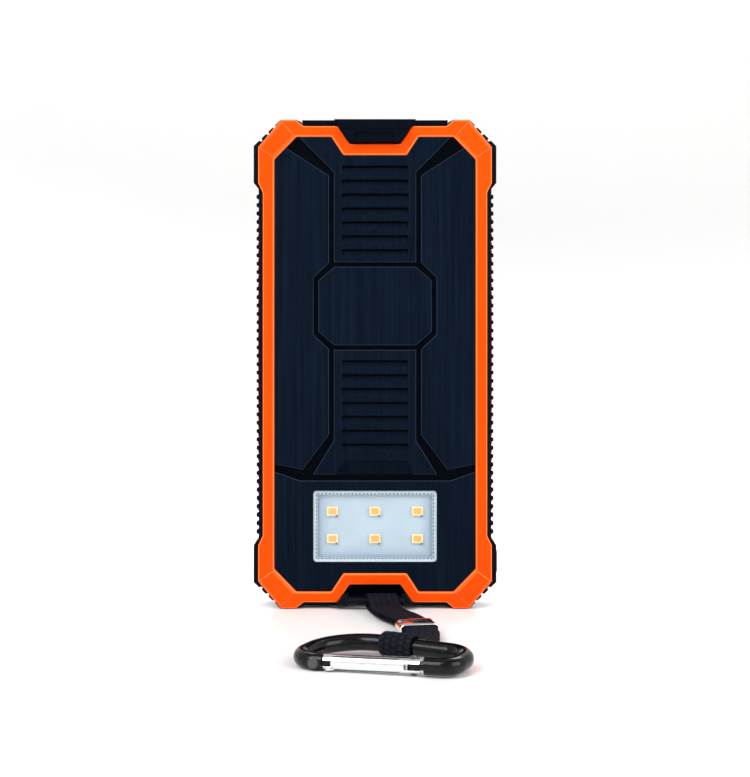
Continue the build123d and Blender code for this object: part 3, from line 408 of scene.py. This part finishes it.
finishes = {
    "brushed_cover": brushed_cover(),
    "dark_plastic": dark_plastic(),
    "port_cover": port_cover_rubber(),
    "armour": armour_rubber(),
    "button": button_rubber(),
    "bezel": orange_bezel(),
    "grip": orange_grip(),
    "solar_cell": solar_cell(),
    "finger": plain("printed_finger", (0.016, 0.026, 0.066), (0.012, 0.021, 0.054), 0.4, specular=0.04),
    "backing": panel_backing(),
    "glass": clear_panel("panel_glass", (0.008, 0.014, 0.03), 0.05, 0.04),
    "lens": clear_panel("lens_plastic", (0.75, 0.84, 0.92), 0.10, 0.05),
    "lamp_board": lamp_board(),
    "lamp_rim": lamp_rim(),
    "led_body": led_body(),
    "phosphor": led_phosphor(),
    "led_mark": led_mark(),
    "pit": plain("tray_pit", (0.035, 0.06, 0.09), (0.02, 0.04, 0.06), 0.6, specular=0.1),
    "steel": metal("plated_steel", (0.70, 0.70, 0.72), 0.28),
    "silver": metal("gate_silver", (0.74, 0.74, 0.75), 0.18),
    "crimp": metal("crimp_metal", (0.86, 0.83, 0.79), 0.13, streaks=(1.5, 1.5, 1.5), staining=0.15),
    "hook": hook_black(),
    "pin": plain("pin_grey", (0.035, 0.035, 0.037), (0.06, 0.06, 0.062), 0.25, step=2.0),
    "seam": plain("seam_dark", (0.035, 0.035, 0.037), (0.06, 0.06, 0.062), 0.4, metallic=0.6, step=4.0),
    "webbing": webbing(),
    "seal": plain("seal_rubber", (0.02, 0.02, 0.022), (0.03, 0.03, 0.032), 0.7),
    "insulator": plain("insulator_white", (0.78, 0.78, 0.75), (0.70, 0.70, 0.67), 0.5),
    "board": plain("circuit_board", (0.012, 0.09, 0.035), (0.02, 0.13, 0.05), 0.35),
    "chip": plain("chip_black", (0.012, 0.012, 0.013), (0.022, 0.022, 0.024), 0.5),
    "foil": plain(
        "battery_foil", (0.60, 0.61, 0.63), (0.46, 0.47, 0.50), 0.3, metallic=0.8, step=0.5, depth=0.05,
    ),
    "foam": plain("foam_grey", (0.06, 0.06, 0.065), (0.035, 0.035, 0.04), 0.9, step=2.0, depth=0.1),
    "wire_red": plain("wire_red", (0.55, 0.01, 0.01), (0.42, 0.008, 0.008), 0.4),
    "wire_black": plain("wire_black", (0.012, 0.012, 0.012), (0.02, 0.02, 0.02), 0.4),
    "wire_white": plain("wire_white", (0.75, 0.75, 0.74), (0.65, 0.65, 0.64), 0.4),
    "wire_blue": plain("wire_blue", (0.01, 0.05, 0.4), (0.008, 0.04, 0.3), 0.4),
}

NODE_FINISH = {
    "back_shell": "brushed_cover", "front_shell": "dark_plastic", "shell_seal": "seal",
    "back_bezel": "bezel", "front_bezel": "bezel", "armour_band": "armour",
    "grip_right": "grip", "grip_left": "grip", "solar_backing": "backing",
    "solar_cells": "solar_cell", "solar_glass": "glass", "lamp_lens": "lens",
    "lamp_board": "lamp_board", "lamp_leds": "led_body", "lamp_phosphors": "phosphor",
    "port_cover": "port_cover", "usb_socket_left": "steel", "usb_socket_right": "steel",
    "usb_insulator_left": "insulator", "usb_insulator_right": "insulator",
    "micro_usb_socket": "steel", "micro_usb_tongue": "chip", "main_board": "board",
    "board_screws": "steel", "power_chips": "chip", "power_inductor": "chip",
    "filter_capacitors": "steel", "battery_cell_rear": "foil", "battery_cell_front": "foil",
    "foam_pad": "foam", "protection_board": "board", "lamp_lead_red": "wire_red",
    "lamp_lead_black": "wire_black", "battery_lead_red": "wire_red",
    "battery_lead_black": "wire_black", "solar_lead_red": "wire_red",
    "solar_lead_black": "wire_black", "power_button": "button", "switch_plunger": "insulator",
    "tact_switch": "steel", "button_board": "board", "button_lead_white": "wire_white",
    "button_lead_blue": "wire_blue", "lanyard_bar": "dark_plastic", "strap_crimp": "crimp",
    "carabiner_frame": "hook", "carabiner_gate": "silver", "gate_rivet": "silver",
    "gate_spring": "steel",
}


def cover_with(obj, finish):
    obj.data.materials.clear()
    obj.data.materials.append(finishes[finish].material)


for node, finish in NODE_FINISH.items():
    cover_with(frame["nodes"][node], finish)


# ---------------------------------------------------------------- meshes
def add_piece(name, points, faces, finish, body, smooth=True):
    """A mesh of points in mm, riding on a body."""
    mesh = bpy.data.meshes.new(name)
    mesh.from_pydata([Vector(point) * MM for point in points], [], faces)
    mesh.validate()
    mesh.update()
    for face in mesh.polygons:
        face.use_smooth = smooth
    piece = bpy.data.objects.new(name, mesh)
    bpy.context.collection.objects.link(piece)
    cover_with(piece, finish)
    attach(piece, body)
    return piece


def tube_faces(rings, around, first=0, closed=False):
    """Quads between rings of points, one ring after another, the first point at index first."""
    last = rings if closed else rings - 1
    return [
        (
            first + ring * around + step,
            first + ring * around + (step + 1) % around,
            first + (ring + 1) % rings * around + (step + 1) % around,
            first + (ring + 1) % rings * around + step,
        )
        for ring in range(last)
        for step in range(around)
    ]


def solid_faces(rings, around, first=0):
    """Faces of an open tube and one more over each of its ends."""
    start = range(first, first + around)
    end = range(first + (rings - 1) * around, first + rings * around)
    return tube_faces(rings, around, first) + [tuple(reversed(start)), tuple(end)]


# ---------------------------------------------------------------- lanyard strap
STRAP_ROUTE = [(2.0, -7.8), (3.8, -20.7), (10.3, -31.9), (14.1, -51.6), (12.2, -63.4), (6.5, -73.4)]
STRAP_WIDTH = 10.0
STRAP_Z = 1.75
LAYER_GAP = 1.2  # between the middles of the two layers
BAR_Z = 2.8
BAR_TURN = 1.9  # radius of the webbing's middle round the bar
SPINE_Z = 3.5
SPINE_TURN = 2.9
RISE = 9.0  # length over which a layer climbs to its loop
STEP = 0.2
YARN_COLUMNS = 5
YARN_PITCH = 1.35
YARN_RELIEF = 0.16
CORE = 0.42  # half the thickness of a layer under its yarns' relief
SELVEDGE_WAVE = 0.16
POINTS_ACROSS = 30


def strap_line():
    """Points along the middle of the strap, about STEP apart."""
    curve = bpy.data.curves.new("strap_line", "CURVE")
    curve.dimensions = "3D"
    curve.resolution_u = 40
    spline = curve.splines.new("NURBS")
    spline.points.add(len(STRAP_ROUTE) - 1)
    for point, (x, y) in zip(spline.points, STRAP_ROUTE):
        point.co = (x * MM, y * MM, STRAP_Z * MM, 1)
    spline.order_u = 3
    spline.use_endpoint_u = True
    holder = bpy.data.objects.new("strap_line", curve)
    mesh = bpy.data.meshes.new_from_object(holder)
    raw = [vertex.co / MM for vertex in mesh.vertices]
    bpy.data.objects.remove(holder)
    bpy.data.curves.remove(curve)
    bpy.data.meshes.remove(mesh)
    return resampled(raw, STEP)


def resampled(points, step):
    """The same line with its points evenly spaced."""
    distances = [0.0]
    for before, after in zip(points, points[1:]):
        distances.append(distances[-1] + (after - before).length)
    count = ceil(distances[-1] / step)
    line = []
    at = 0
    for index in range(count + 1):
        wanted = distances[-1] * index / count
        while at < len(points) - 2 and distances[at + 1] < wanted:
            at += 1
        part = (wanted - distances[at]) / (distances[at + 1] - distances[at])
        line.append(points[at].lerp(points[at + 1], part))
    return line


def eased(value):
    value = min(max(value, 0.0), 1.0)
    return value * value * (3 - 2 * value)


def layer_run(length, way):
    """(distance along the strap, height) of one layer: way is -1 for the lower one, 1 for the upper."""
    middle = STRAP_Z + way * LAYER_GAP / 2
    runs = ceil(length / STEP)
    run = []
    for index in range(runs + 1):
        s = length * index / runs
        at_bar = 1 - eased(s / RISE)
        at_spine = 1 - eased((length - s) / RISE)
        to_bar = (BAR_Z + way * BAR_TURN - middle) * at_bar
        to_spine = (SPINE_Z + way * SPINE_TURN - middle) * at_spine
        run.append((s, middle + to_bar + to_spine))
    return run


def half_turn(s, z, radius, way):
    """(distance along the strap, height) round a bar: way is -1 to turn back before it, 1 beyond it."""
    count = ceil(pi * radius / STEP)
    angles = [pi * index / count for index in range(1, count)]
    return [(s + way * radius * sin(angle), z + way * radius * cos(angle)) for angle in angles]


def loop_profile(length):
    """(distance along the strap, height) round the doubled webbing, as one closed loop."""
    profile = layer_run(length, -1)[::-1]
    profile += half_turn(0, BAR_Z, BAR_TURN, -1)
    profile += layer_run(length, 1)
    profile += half_turn(length, SPINE_Z, SPINE_TURN, 1)
    return profile


def yarn_relief(across, along):
    """Height of the woven surface: columns of slanting yarn, each half a step from the next."""
    column = (across / STRAP_WIDTH + 0.5) * YARN_COLUMNS
    number = min(floor(column), YARN_COLUMNS - 1)
    inside = column - number
    row = along / YARN_PITCH + 0.5 * (number % 2) + 0.3 * abs(inside - 0.5)
    return YARN_RELIEF * max(sin(pi * inside), 0) ** 0.6 * (0.2 + 0.8 * abs(sin(pi * row)) ** 0.8)


def line_length(line):
    return sum((after - before).length for before, after in zip(line, line[1:]))


def make_strap():
    line = strap_line()
    length = line_length(line)
    step = length / (len(line) - 1)

    def place(s):
        """The point, the way across and the way along at a distance along the strap."""
        index = min(max(s / step, 0), len(line) - 1.001)
        low = floor(index)
        point = line[low].lerp(line[low + 1], index - low)
        way = (line[min(low + 3, len(line) - 1)] - line[max(low - 2, 0)]).normalized()
        square = 1 - eased(s / RISE)
        way = way.lerp(Vector((0, -1, 0)), square).normalized()
        point = point + way * (min(s, 0) + max(s - length, 0))
        return point, Vector((way.y, -way.x, 0)), way

    profile = loop_profile(length)
    points, heights = [], []
    along = 0.0
    count = len(profile)
    for index, (s, z) in enumerate(profile):
        before, after = profile[index - 1], profile[(index + 1) % count]
        along += Vector((s - before[0], z - before[1])).length
        tangent = Vector((after[0] - before[0], after[1] - before[1])).normalized()
        point, across_way, way = place(s)
        outward = Vector((0, 0, 1)) * tangent.x - way * tangent.y
        edge = STRAP_WIDTH / 2 - SELVEDGE_WAVE * (1 - abs(sin(pi * along / YARN_PITCH)))
        for face in (1, -1):
            for number in range(POINTS_ACROSS):
                even = (number + 0.5) / POINTS_ACROSS
                # closer together towards the edges
                part = 0.45 * (2 * even - 1) - 0.55 * cos(pi * even)
                across = face * part * edge
                relief = yarn_relief(across, along)
                heights.append(relief / YARN_RELIEF)
                thick = (CORE + relief) * (1 - abs(part) ** 7) ** 0.5
                spot = Vector((point.x, point.y, z)) + across_way * across + outward * thick * face
                points.append(spot)
    faces = tube_faces(count, 2 * POINTS_ACROSS, closed=True)
    piece = add_piece("strap_weave", points, faces, "webbing", "lanyard")
    stored = piece.data.attributes.new("yarn_height", "FLOAT", "POINT")
    stored.data.foreach_set("value", heights)
    return piece, line, length


strap, strap_middle, strap_length = make_strap()
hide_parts("strap_webbing")


# ---------------------------------------------------------------- bezels
BEZEL_BEVEL = 0.42
BEZEL_WALL = 0.9  # a wall has to be higher than this for its rim to be bevelled
SAME_POINT = 0.004
SAME_PLANE = radians(0.5)


def height_of(face):
    """How far a face runs along Y."""
    places = [vertex.co.y for vertex in face.verts]
    return max(places) - min(places)


def rim_edges(mesh):
    """The edges where a face that looks along Y meets a high wall."""
    found = []
    for edge in mesh.edges:
        if len(edge.link_faces) != 2:
            continue
        flat, wall = sorted(edge.link_faces, key=lambda face: -abs(face.normal.y))
        if abs(flat.normal.y) > 0.9 and abs(wall.normal.y) < 0.4 and height_of(wall) > BEZEL_WALL * MM:
            found.append(edge)
    return found


def make_bezel(name, node):
    """A copy of a CAD bezel with bevelled rims, standing for it."""
    mesh = bmesh.new()
    mesh.from_mesh(frame["nodes"][node].data)
    bmesh.ops.remove_doubles(mesh, verts=mesh.verts, dist=SAME_POINT * MM)
    bmesh.ops.dissolve_limit(mesh, angle_limit=SAME_PLANE, verts=mesh.verts, edges=mesh.edges)
    bmesh.ops.bevel(
        mesh, geom=rim_edges(mesh), offset=BEZEL_BEVEL * MM, segments=1, profile=0.5, affect="EDGES",
    )
    bmesh.ops.triangulate(mesh, faces=[face for face in mesh.faces if len(face.verts) > 4])
    copy = bpy.data.meshes.new(name)
    mesh.to_mesh(copy)
    mesh.free()
    piece = bpy.data.objects.new(name, copy)
    bpy.context.collection.objects.link(piece)
    cover_with(piece, "bezel")
    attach(piece, "case")
    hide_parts(node)


make_bezel("lamp_side_bezel", "back_bezel")
make_bezel("solar_side_bezel", "front_bezel")


# ---------------------------------------------------------------- solar panel
FINGER_PITCH = 1.54
FINGER_HALF = 0.14
FINGER_HEIGHT = 0.015
FINGER_SINK = 0.005
FINGER_MARGIN = 0.3
PLATE_GAP = 0.06  # from the cells to the clear plate
PLATE_PLAY = 0.02
PLATE_EDGE = 0.15


def corner_outline(node):
    """Half width, foot, top and corner cuts along x and z of a CAD piece with four cut corners."""
    places = [vertex.co / MM for vertex in frame["nodes"][node].data.vertices]
    side = max(place.x for place in places)
    foot, top = min(place.z for place in places), max(place.z for place in places)
    cut_x = max(place.x for place in places if place.z < foot + 0.01)
    cut_z = min(place.z for place in places if place.x > side - 0.01)
    return side, foot, top, side - cut_x, cut_z - foot


def make_fingers():
    """Fine raised lines printed across both columns of cells."""
    side, foot, top, cut_x, cut_z = corner_outline("solar_cells")
    face_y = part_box("solar_cells")[1].y / MM
    inner = min(abs(vertex.co.x) for vertex in frame["nodes"]["solar_cells"].data.vertices) / MM
    count = int((top - foot) / FINGER_PITCH)
    points, faces = [], []
    for index in range(count):
        z = foot + (top - foot) * (index + 0.5) / count
        from_end = min(z - foot, top - z)
        reach = side - max(0, cut_x * (1 - from_end / cut_z)) - FINGER_MARGIN
        for way in (-1, 1):
            near, far = way * (inner + FINGER_MARGIN), way * reach
            faces += solid_faces(2, 4, len(points))
            for y in (face_y - FINGER_SINK, face_y + FINGER_HEIGHT):
                points += [
                    (near, y, z - FINGER_HALF), (far, y, z - FINGER_HALF),
                    (far, y, z + FINGER_HALF), (near, y, z + FINGER_HALF),
                ]
    add_piece("cell_fingers", points, faces, "finger", "case", False)


def make_panel_plate():
    """Clear plate over the cells, with softened outer edges."""
    side, foot, top, cut_x, cut_z = corner_outline("solar_glass")
    back_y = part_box("solar_cells")[1].y / MM + PLATE_GAP
    face_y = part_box("solar_glass")[1].y / MM
    levels = [(PLATE_PLAY, back_y), (PLATE_PLAY, face_y - PLATE_EDGE), (PLATE_EDGE, face_y)]
    points = []
    for inset, y in levels:
        right, low, high = side - inset, foot + inset, top - inset
        half = [(right - cut_x, low), (right, low + cut_z), (right, high - cut_z), (right - cut_x, high)]
        points += [(x, y, z) for x, z in half]
        points += [(-x, y, z) for x, z in reversed(half)]
    faces = solid_faces(len(levels), len(points) // len(levels))
    plate = add_piece("panel_plate", points, faces, "glass", "case", False)
    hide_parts("solar_glass")


make_fingers()
make_panel_plate()


# ---------------------------------------------------------------- lamp
LED_PITCH = (13.5, 8.75)
LED_ROWS_Z = WINDOW_Z + 0.3
WINDOW_PLAY = 0.02
WINDOW_BEVEL = 0.14
RIM_PLAY = 0.04
RIM_WIDTH = 1.42
RIM_THICKNESS = 0.2
RIM_BEVEL = (0.15, 0.06)
PIT_INSET = 1.05
PIT_PITCH = 1.2
PIT_HALF = 0.26
PIT_DEPTH = 0.02
PIT_PROUD = 0.012
MARK_OFFSET = (1.3, -1.5)
MARK_RADIUS = 0.42
MARK_STEPS = 14
BOARD_FACE_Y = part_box("lamp_board")[0].y / MM
LED_FACE_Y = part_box("lamp_leds")[0].y / MM
LENS_FRONT_Y, LENS_BACK_Y = (corner.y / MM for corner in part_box("lamp_lens"))
RIM_FRONT_Y = LENS_BACK_Y - RIM_THICKNESS
RIM_BACK_Y = LENS_BACK_Y - 0.01


def rounded_outline(width, height, radius, steps=6):
    """Corner-rounded rectangle as (x, z) points round its middle."""
    reach_x, reach_z = width / 2 - radius, height / 2 - radius
    outline = []
    for quarter, (x, z) in enumerate(((1, 1), (-1, 1), (-1, -1), (1, -1))):
        for step in range(steps + 1):
            angle = (quarter + step / steps) * pi / 2
            outline.append((x * reach_x + radius * cos(angle), z * reach_z + radius * sin(angle)))
    return outline


def window_rings(levels):
    """Rings of points round the window, from (inset, corner radius, y) at each level."""
    points = []
    for inset, radius, y in levels:
        outline = rounded_outline(WINDOW[0] - 2 * inset, WINDOW[1] - 2 * inset, radius)
        points += [(x, y, WINDOW_Z + z) for x, z in outline]
    return points, len(points) // len(levels)


def make_lamp_window():
    """Clear plate with softened front edges."""
    points, around = window_rings([
        (WINDOW_PLAY, 0.9, RIM_FRONT_Y - WINDOW_PLAY),
        (WINDOW_PLAY, 0.9, LENS_FRONT_Y + WINDOW_BEVEL),
        (WINDOW_PLAY + WINDOW_BEVEL, 0.8, LENS_FRONT_Y),
    ])
    faces = solid_faces(len(points) // around, around)
    plate = add_piece("lamp_window", points, faces, "lens", "case", False)
    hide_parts("lamp_lens")


def make_lamp_rim():
    """White edge of the lamp's tray, behind the lens."""
    points, around = window_rings([
        (RIM_PLAY, 1.1, RIM_FRONT_Y),
        (RIM_WIDTH - RIM_BEVEL[0], 0.8, RIM_FRONT_Y),
        (RIM_WIDTH, 0.7, RIM_FRONT_Y + RIM_BEVEL[1]),
        (RIM_WIDTH, 0.7, RIM_BACK_Y),
        (RIM_PLAY, 1.1, RIM_BACK_Y),
    ])
    faces = tube_faces(len(points) // around, around, closed=True)
    add_piece("lamp_tray_rim", points, faces, "lamp_rim", "case", False)


def make_lamp_pits():
    """A line of small dark squares all along the tray's edge."""
    half_x, half_z = WINDOW[0] / 2 - PIT_INSET, WINDOW[1] / 2 - PIT_INSET
    places = [(x, side * half_z) for side in (-1, 1) for x in pit_places(half_x)]
    places += [(side * half_x, z) for side in (-1, 1) for z in pit_places(half_z)]
    corners = [(-1, -1), (1, -1), (1, 1), (-1, 1)]
    points, faces = [], []
    for x, z in places:
        faces += solid_faces(2, len(corners), len(points))
        for y, half in ((RIM_FRONT_Y + PIT_DEPTH, PIT_HALF), (RIM_FRONT_Y - PIT_PROUD, PIT_HALF * 0.8)):
            points += [(x + half * right, y, WINDOW_Z + z + half * up) for right, up in corners]
    add_piece("lamp_tray_pits", points, faces, "pit", "case", False)


def pit_places(half):
    """Evenly spaced places along one side of the tray."""
    count = round(2 * half / PIT_PITCH)
    return [-half + 2 * half * (index + 0.5) / count for index in range(count)]


def make_led_marks():
    """A small round mark on the plate at the lower right of each LED."""
    points, faces = [], []
    for row in (-0.5, 0.5):
        for column in (-1, 0, 1):
            x = column * LED_PITCH[0] + MARK_OFFSET[0]
            z = LED_ROWS_Z + row * LED_PITCH[1] + MARK_OFFSET[1]
            faces += solid_faces(2, MARK_STEPS, len(points))
            for y, radius in ((BOARD_FACE_Y - 0.01, MARK_RADIUS), (LED_FACE_Y - 0.03, MARK_RADIUS * 0.9)):
                for step in range(MARK_STEPS):
                    angle = 2 * pi * step / MARK_STEPS
                    points.append((x + radius * cos(angle), y, z + radius * sin(angle)))
    add_piece("led_marks", points, faces, "led_mark", "case", False)


make_lamp_window()
make_lamp_rim()
make_lamp_pits()
make_led_marks()


# ---------------------------------------------------------------- crimp and snap hook fittings
CRIMP_AT = 10.2  # along the strap's longest run
CRIMP_BORE = (10.4, 2.5)
# distance from the waist, width and height
CRIMP_HALF = [(0, 11.4, 3.3), (1.4, 11.45, 3.34), (2.6, 11.6, 3.46), (3.8, 11.6, 3.46), (4.1, 11.2, 3.2)]
GATE_SLANT = radians(15.5)
NOSE_PIN_AT = 26.2
LIP_AT = (22.0, 1.15, -1.45)  # along the gate, out and up
LIP_SIZE = (1.5, 1.4, 0.42)
SEAM_ENDS = (3.4, 21.0)
SEAM_ANGLES = (0.98, -0.86)
SEAM_SHAPE = [(2.0, -0.1), (2.15, -0.08), (2.15, 0.08), (2.0, 0.1)]  # radius, and angle in radians


def make_crimp():
    """Polished sleeve pressed round the strap, a little narrower at its waist."""
    start, end = (Vector((x, y, 0)) for x, y in STRAP_ROUTE[2:4])
    run = (end - start).normalized()
    across_way = Vector((run.y, -run.x, 0))
    half = [(along, width, height, 0.45 * height) for along, width, height in CRIMP_HALF]
    half.append((half[-1][0], *CRIMP_BORE, 0.5))
    levels = [(-along, *section) for along, *section in reversed(half)] + half[1:]
    levels.append((0, *CRIMP_BORE, 0.5))
    points = []
    for along, width, height, radius in levels:
        spot = start + run * (CRIMP_AT + along)
        for across, z in rounded_outline(width, height, radius):
            points.append(spot + across_way * across + Vector((0, 0, STRAP_Z + z)))
    faces = tube_faces(len(levels), len(points) // len(levels), closed=True)
    crimp = add_piece("strap_sleeve", points, faces, "crimp", "lanyard")
    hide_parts("strap_crimp")
    return crimp


JOINTS = {joint["name"]: joint for joint in frame["joints"]}
SPINE_WAY = Vector(JOINTS["hook_swing"]["axis"]).normalized()
HOOK_UP = -Vector(JOINTS["gate_open"]["axis"]).normalized()
REACH_WAY = HOOK_UP.cross(SPINE_WAY)
RIVET = Vector(JOINTS["gate_open"]["pos_m"]) / MM
GATE_WAY = (SPINE_WAY * cos(GATE_SLANT) + REACH_WAY * sin(GATE_SLANT)).normalized()
GATE_OUT = HOOK_UP.cross(GATE_WAY)


def gate_point(along, out=0.0, up=0.0):
    """A point so far along the gate from its rivet, out from the eye of the hook, and up from its plane."""
    return RIVET + GATE_WAY * along + GATE_OUT * out + HOOK_UP * up


def turned(profile, centre, way, steps=28):
    """Points and faces of a solid turned round a line, from (radius, height) pairs."""
    side = way.orthogonal().normalized()
    other = way.cross(side)
    points = []
    for radius, height in profile:
        for step in range(steps):
            angle = 2 * pi * step / steps
            points.append(centre + way * height + (side * cos(angle) + other * sin(angle)) * radius)
    return points, solid_faces(len(profile), steps)


def make_rivet():
    """Rivet of the gate, with a domed head on each side."""
    head = [(0.12, 2.58), (0.55, 2.52), (0.85, 2.36), (0.98, 2.16), (0.95, 2.02), (0.58, 2.0)]
    profile = [(radius, -height) for radius, height in head] + list(reversed(head))
    points, faces = turned(profile, RIVET, HOOK_UP)
    rivet = add_piece("rivet_domed", points, faces, "pin", "hook_gate")
    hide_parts("gate_rivet")
    return rivet


def make_nose_pin():
    """Round pin head on the outer side of the hook's nose."""
    profile = [(1.2, 1.4), (1.38, 2.25), (1.38, 2.36), (1.25, 2.47), (0.7, 2.52), (0.1, 2.53)]
    points, faces = turned(profile, gate_point(NOSE_PIN_AT), GATE_OUT)
    return add_piece("nose_pin", points, faces, "pin", "snap_hook")


def make_gate_lip():
    """Curled lip of the gate's lower prong."""
    points, rings, steps = [], 11, 24
    for ring in range(rings):
        angle = pi * (ring + 0.5) / rings
        for step in range(steps):
            turn = 2 * pi * step / steps
            ball = (-cos(angle), sin(angle) * cos(turn), sin(angle) * sin(turn))
            points.append(gate_point(*(at + size * part for at, size, part in zip(LIP_AT, LIP_SIZE, ball))))
    return add_piece("gate_lip", points, solid_faces(rings, steps), "silver", "hook_gate")


def make_gate_seams():
    """Folded seams along both edges of the gate."""
    points, faces = [], []
    for middle in SEAM_ANGLES:
        faces += solid_faces(2, len(SEAM_SHAPE), len(points))
        for along in SEAM_ENDS:
            for radius, shift in SEAM_SHAPE:
                angle = middle + shift
                points.append(gate_point(along, radius * cos(angle), radius * sin(angle)))
    return add_piece("gate_seams", points, faces, "seam", "hook_gate", False)


on_the_strap = [make_crimp(), make_rivet(), make_nose_pin(), make_gate_lip(), make_gate_seams()]
on_the_strap += ["carabiner_frame", "carabiner_gate", "gate_spring"]


# ---------------------------------------------------------------- studio
FLOOR_RADIUS = 0.9
BEND_RADIUS = 0.5
BEND_STEPS = 18
WALL_TOP = 1.4
FLOOR_STEPS = 96
CAMERA_PLACE = (0, -0.45, 0.088)
CAMERA_LENS = 64.9
CAMERA_SHIFT = -0.074
WORLD_STRENGTH = 0.62


def studio_white():
    """Satin white paint, faintly uneven."""
    finish = Finish("studio_white", (0.90, 0.90, 0.895), 0.22, specular=0.4)
    mist = finish.noise((0.004, 0.004, 0.004))
    finish.tint(finish.span(mist, 0.3, 0.7), (0.88, 0.885, 0.89), 0.6)
    return finish


def make_floor():
    """Pale floor that curves up into a pale wall all round."""
    profile = [(FLOOR_RADIUS, 0.0)]
    for step in range(1, BEND_STEPS + 1):
        angle = step / BEND_STEPS * pi / 2
        profile.append((FLOOR_RADIUS + BEND_RADIUS * sin(angle), BEND_RADIUS * (1 - cos(angle))))
    profile.append((FLOOR_RADIUS + BEND_RADIUS, WALL_TOP))
    points = []
    for radius, height in profile:
        for turn in range(FLOOR_STEPS):
            angle = 2 * pi * turn / FLOOR_STEPS
            points.append((radius * cos(angle), radius * sin(angle), height))
    faces = [tuple(reversed(face)) for face in tube_faces(len(profile), FLOOR_STEPS)]
    faces += [(len(points), turn, (turn + 1) % FLOOR_STEPS) for turn in range(FLOOR_STEPS)]
    points.append((0, 0, 0))
    mesh = bpy.data.meshes.new("studio_floor")
    mesh.from_pydata(points, [], faces)
    for face in mesh.polygons:
        face.use_smooth = True
    mesh.materials.append(studio_white().material)
    floor_and_wall = bpy.data.objects.new("studio_floor", mesh)
    bpy.context.collection.objects.link(floor_and_wall)


def soft_light(name, place, aim, size, power):
    light = bpy.data.lights.new(name, "AREA")
    light.shape = "RECTANGLE"
    light.size, light.size_y = size
    light.energy = power
    lamp = bpy.data.objects.new(name, light)
    lamp.location = place
    lamp.rotation_euler = (Vector(aim) - Vector(place)).to_track_quat("-Z", "Y").to_euler()
    bpy.context.collection.objects.link(lamp)


def make_camera():
    camera = bpy.data.objects.new("camera", bpy.data.cameras.new("camera"))
    camera.location = CAMERA_PLACE
    camera.rotation_euler = (pi / 2, 0, 0)
    camera.data.lens = CAMERA_LENS
    camera.data.sensor_width = 36
    camera.data.shift_y = CAMERA_SHIFT
    camera.data.clip_start = 0.01
    bpy.context.collection.objects.link(camera)
    bpy.context.scene.camera = camera


def light_the_world():
    world = bpy.data.worlds.new("studio_world")
    world.use_nodes = True
    background = world.node_tree.nodes["Background"]
    background.inputs["Color"].default_value = (1, 1, 1, 1)
    background.inputs["Strength"].default_value = WORLD_STRENGTH
    bpy.context.scene.world = world


make_floor()
soft_light("key_light", place=(-0.5, -0.55, 0.75), aim=(0, 0, 0.08), size=(0.6, 0.6), power=9)
soft_light("fill_light", place=(0.65, -0.45, 0.45), aim=(0, 0, 0.08), size=(0.6, 0.6), power=5)
soft_light("back_light", place=(0.1, 0.6, 0.8), aim=(0, 0, 0.06), size=(0.8, 0.4), power=7)
light_the_world()
make_camera()
bpy.context.scene.view_settings.view_transform = "Standard"
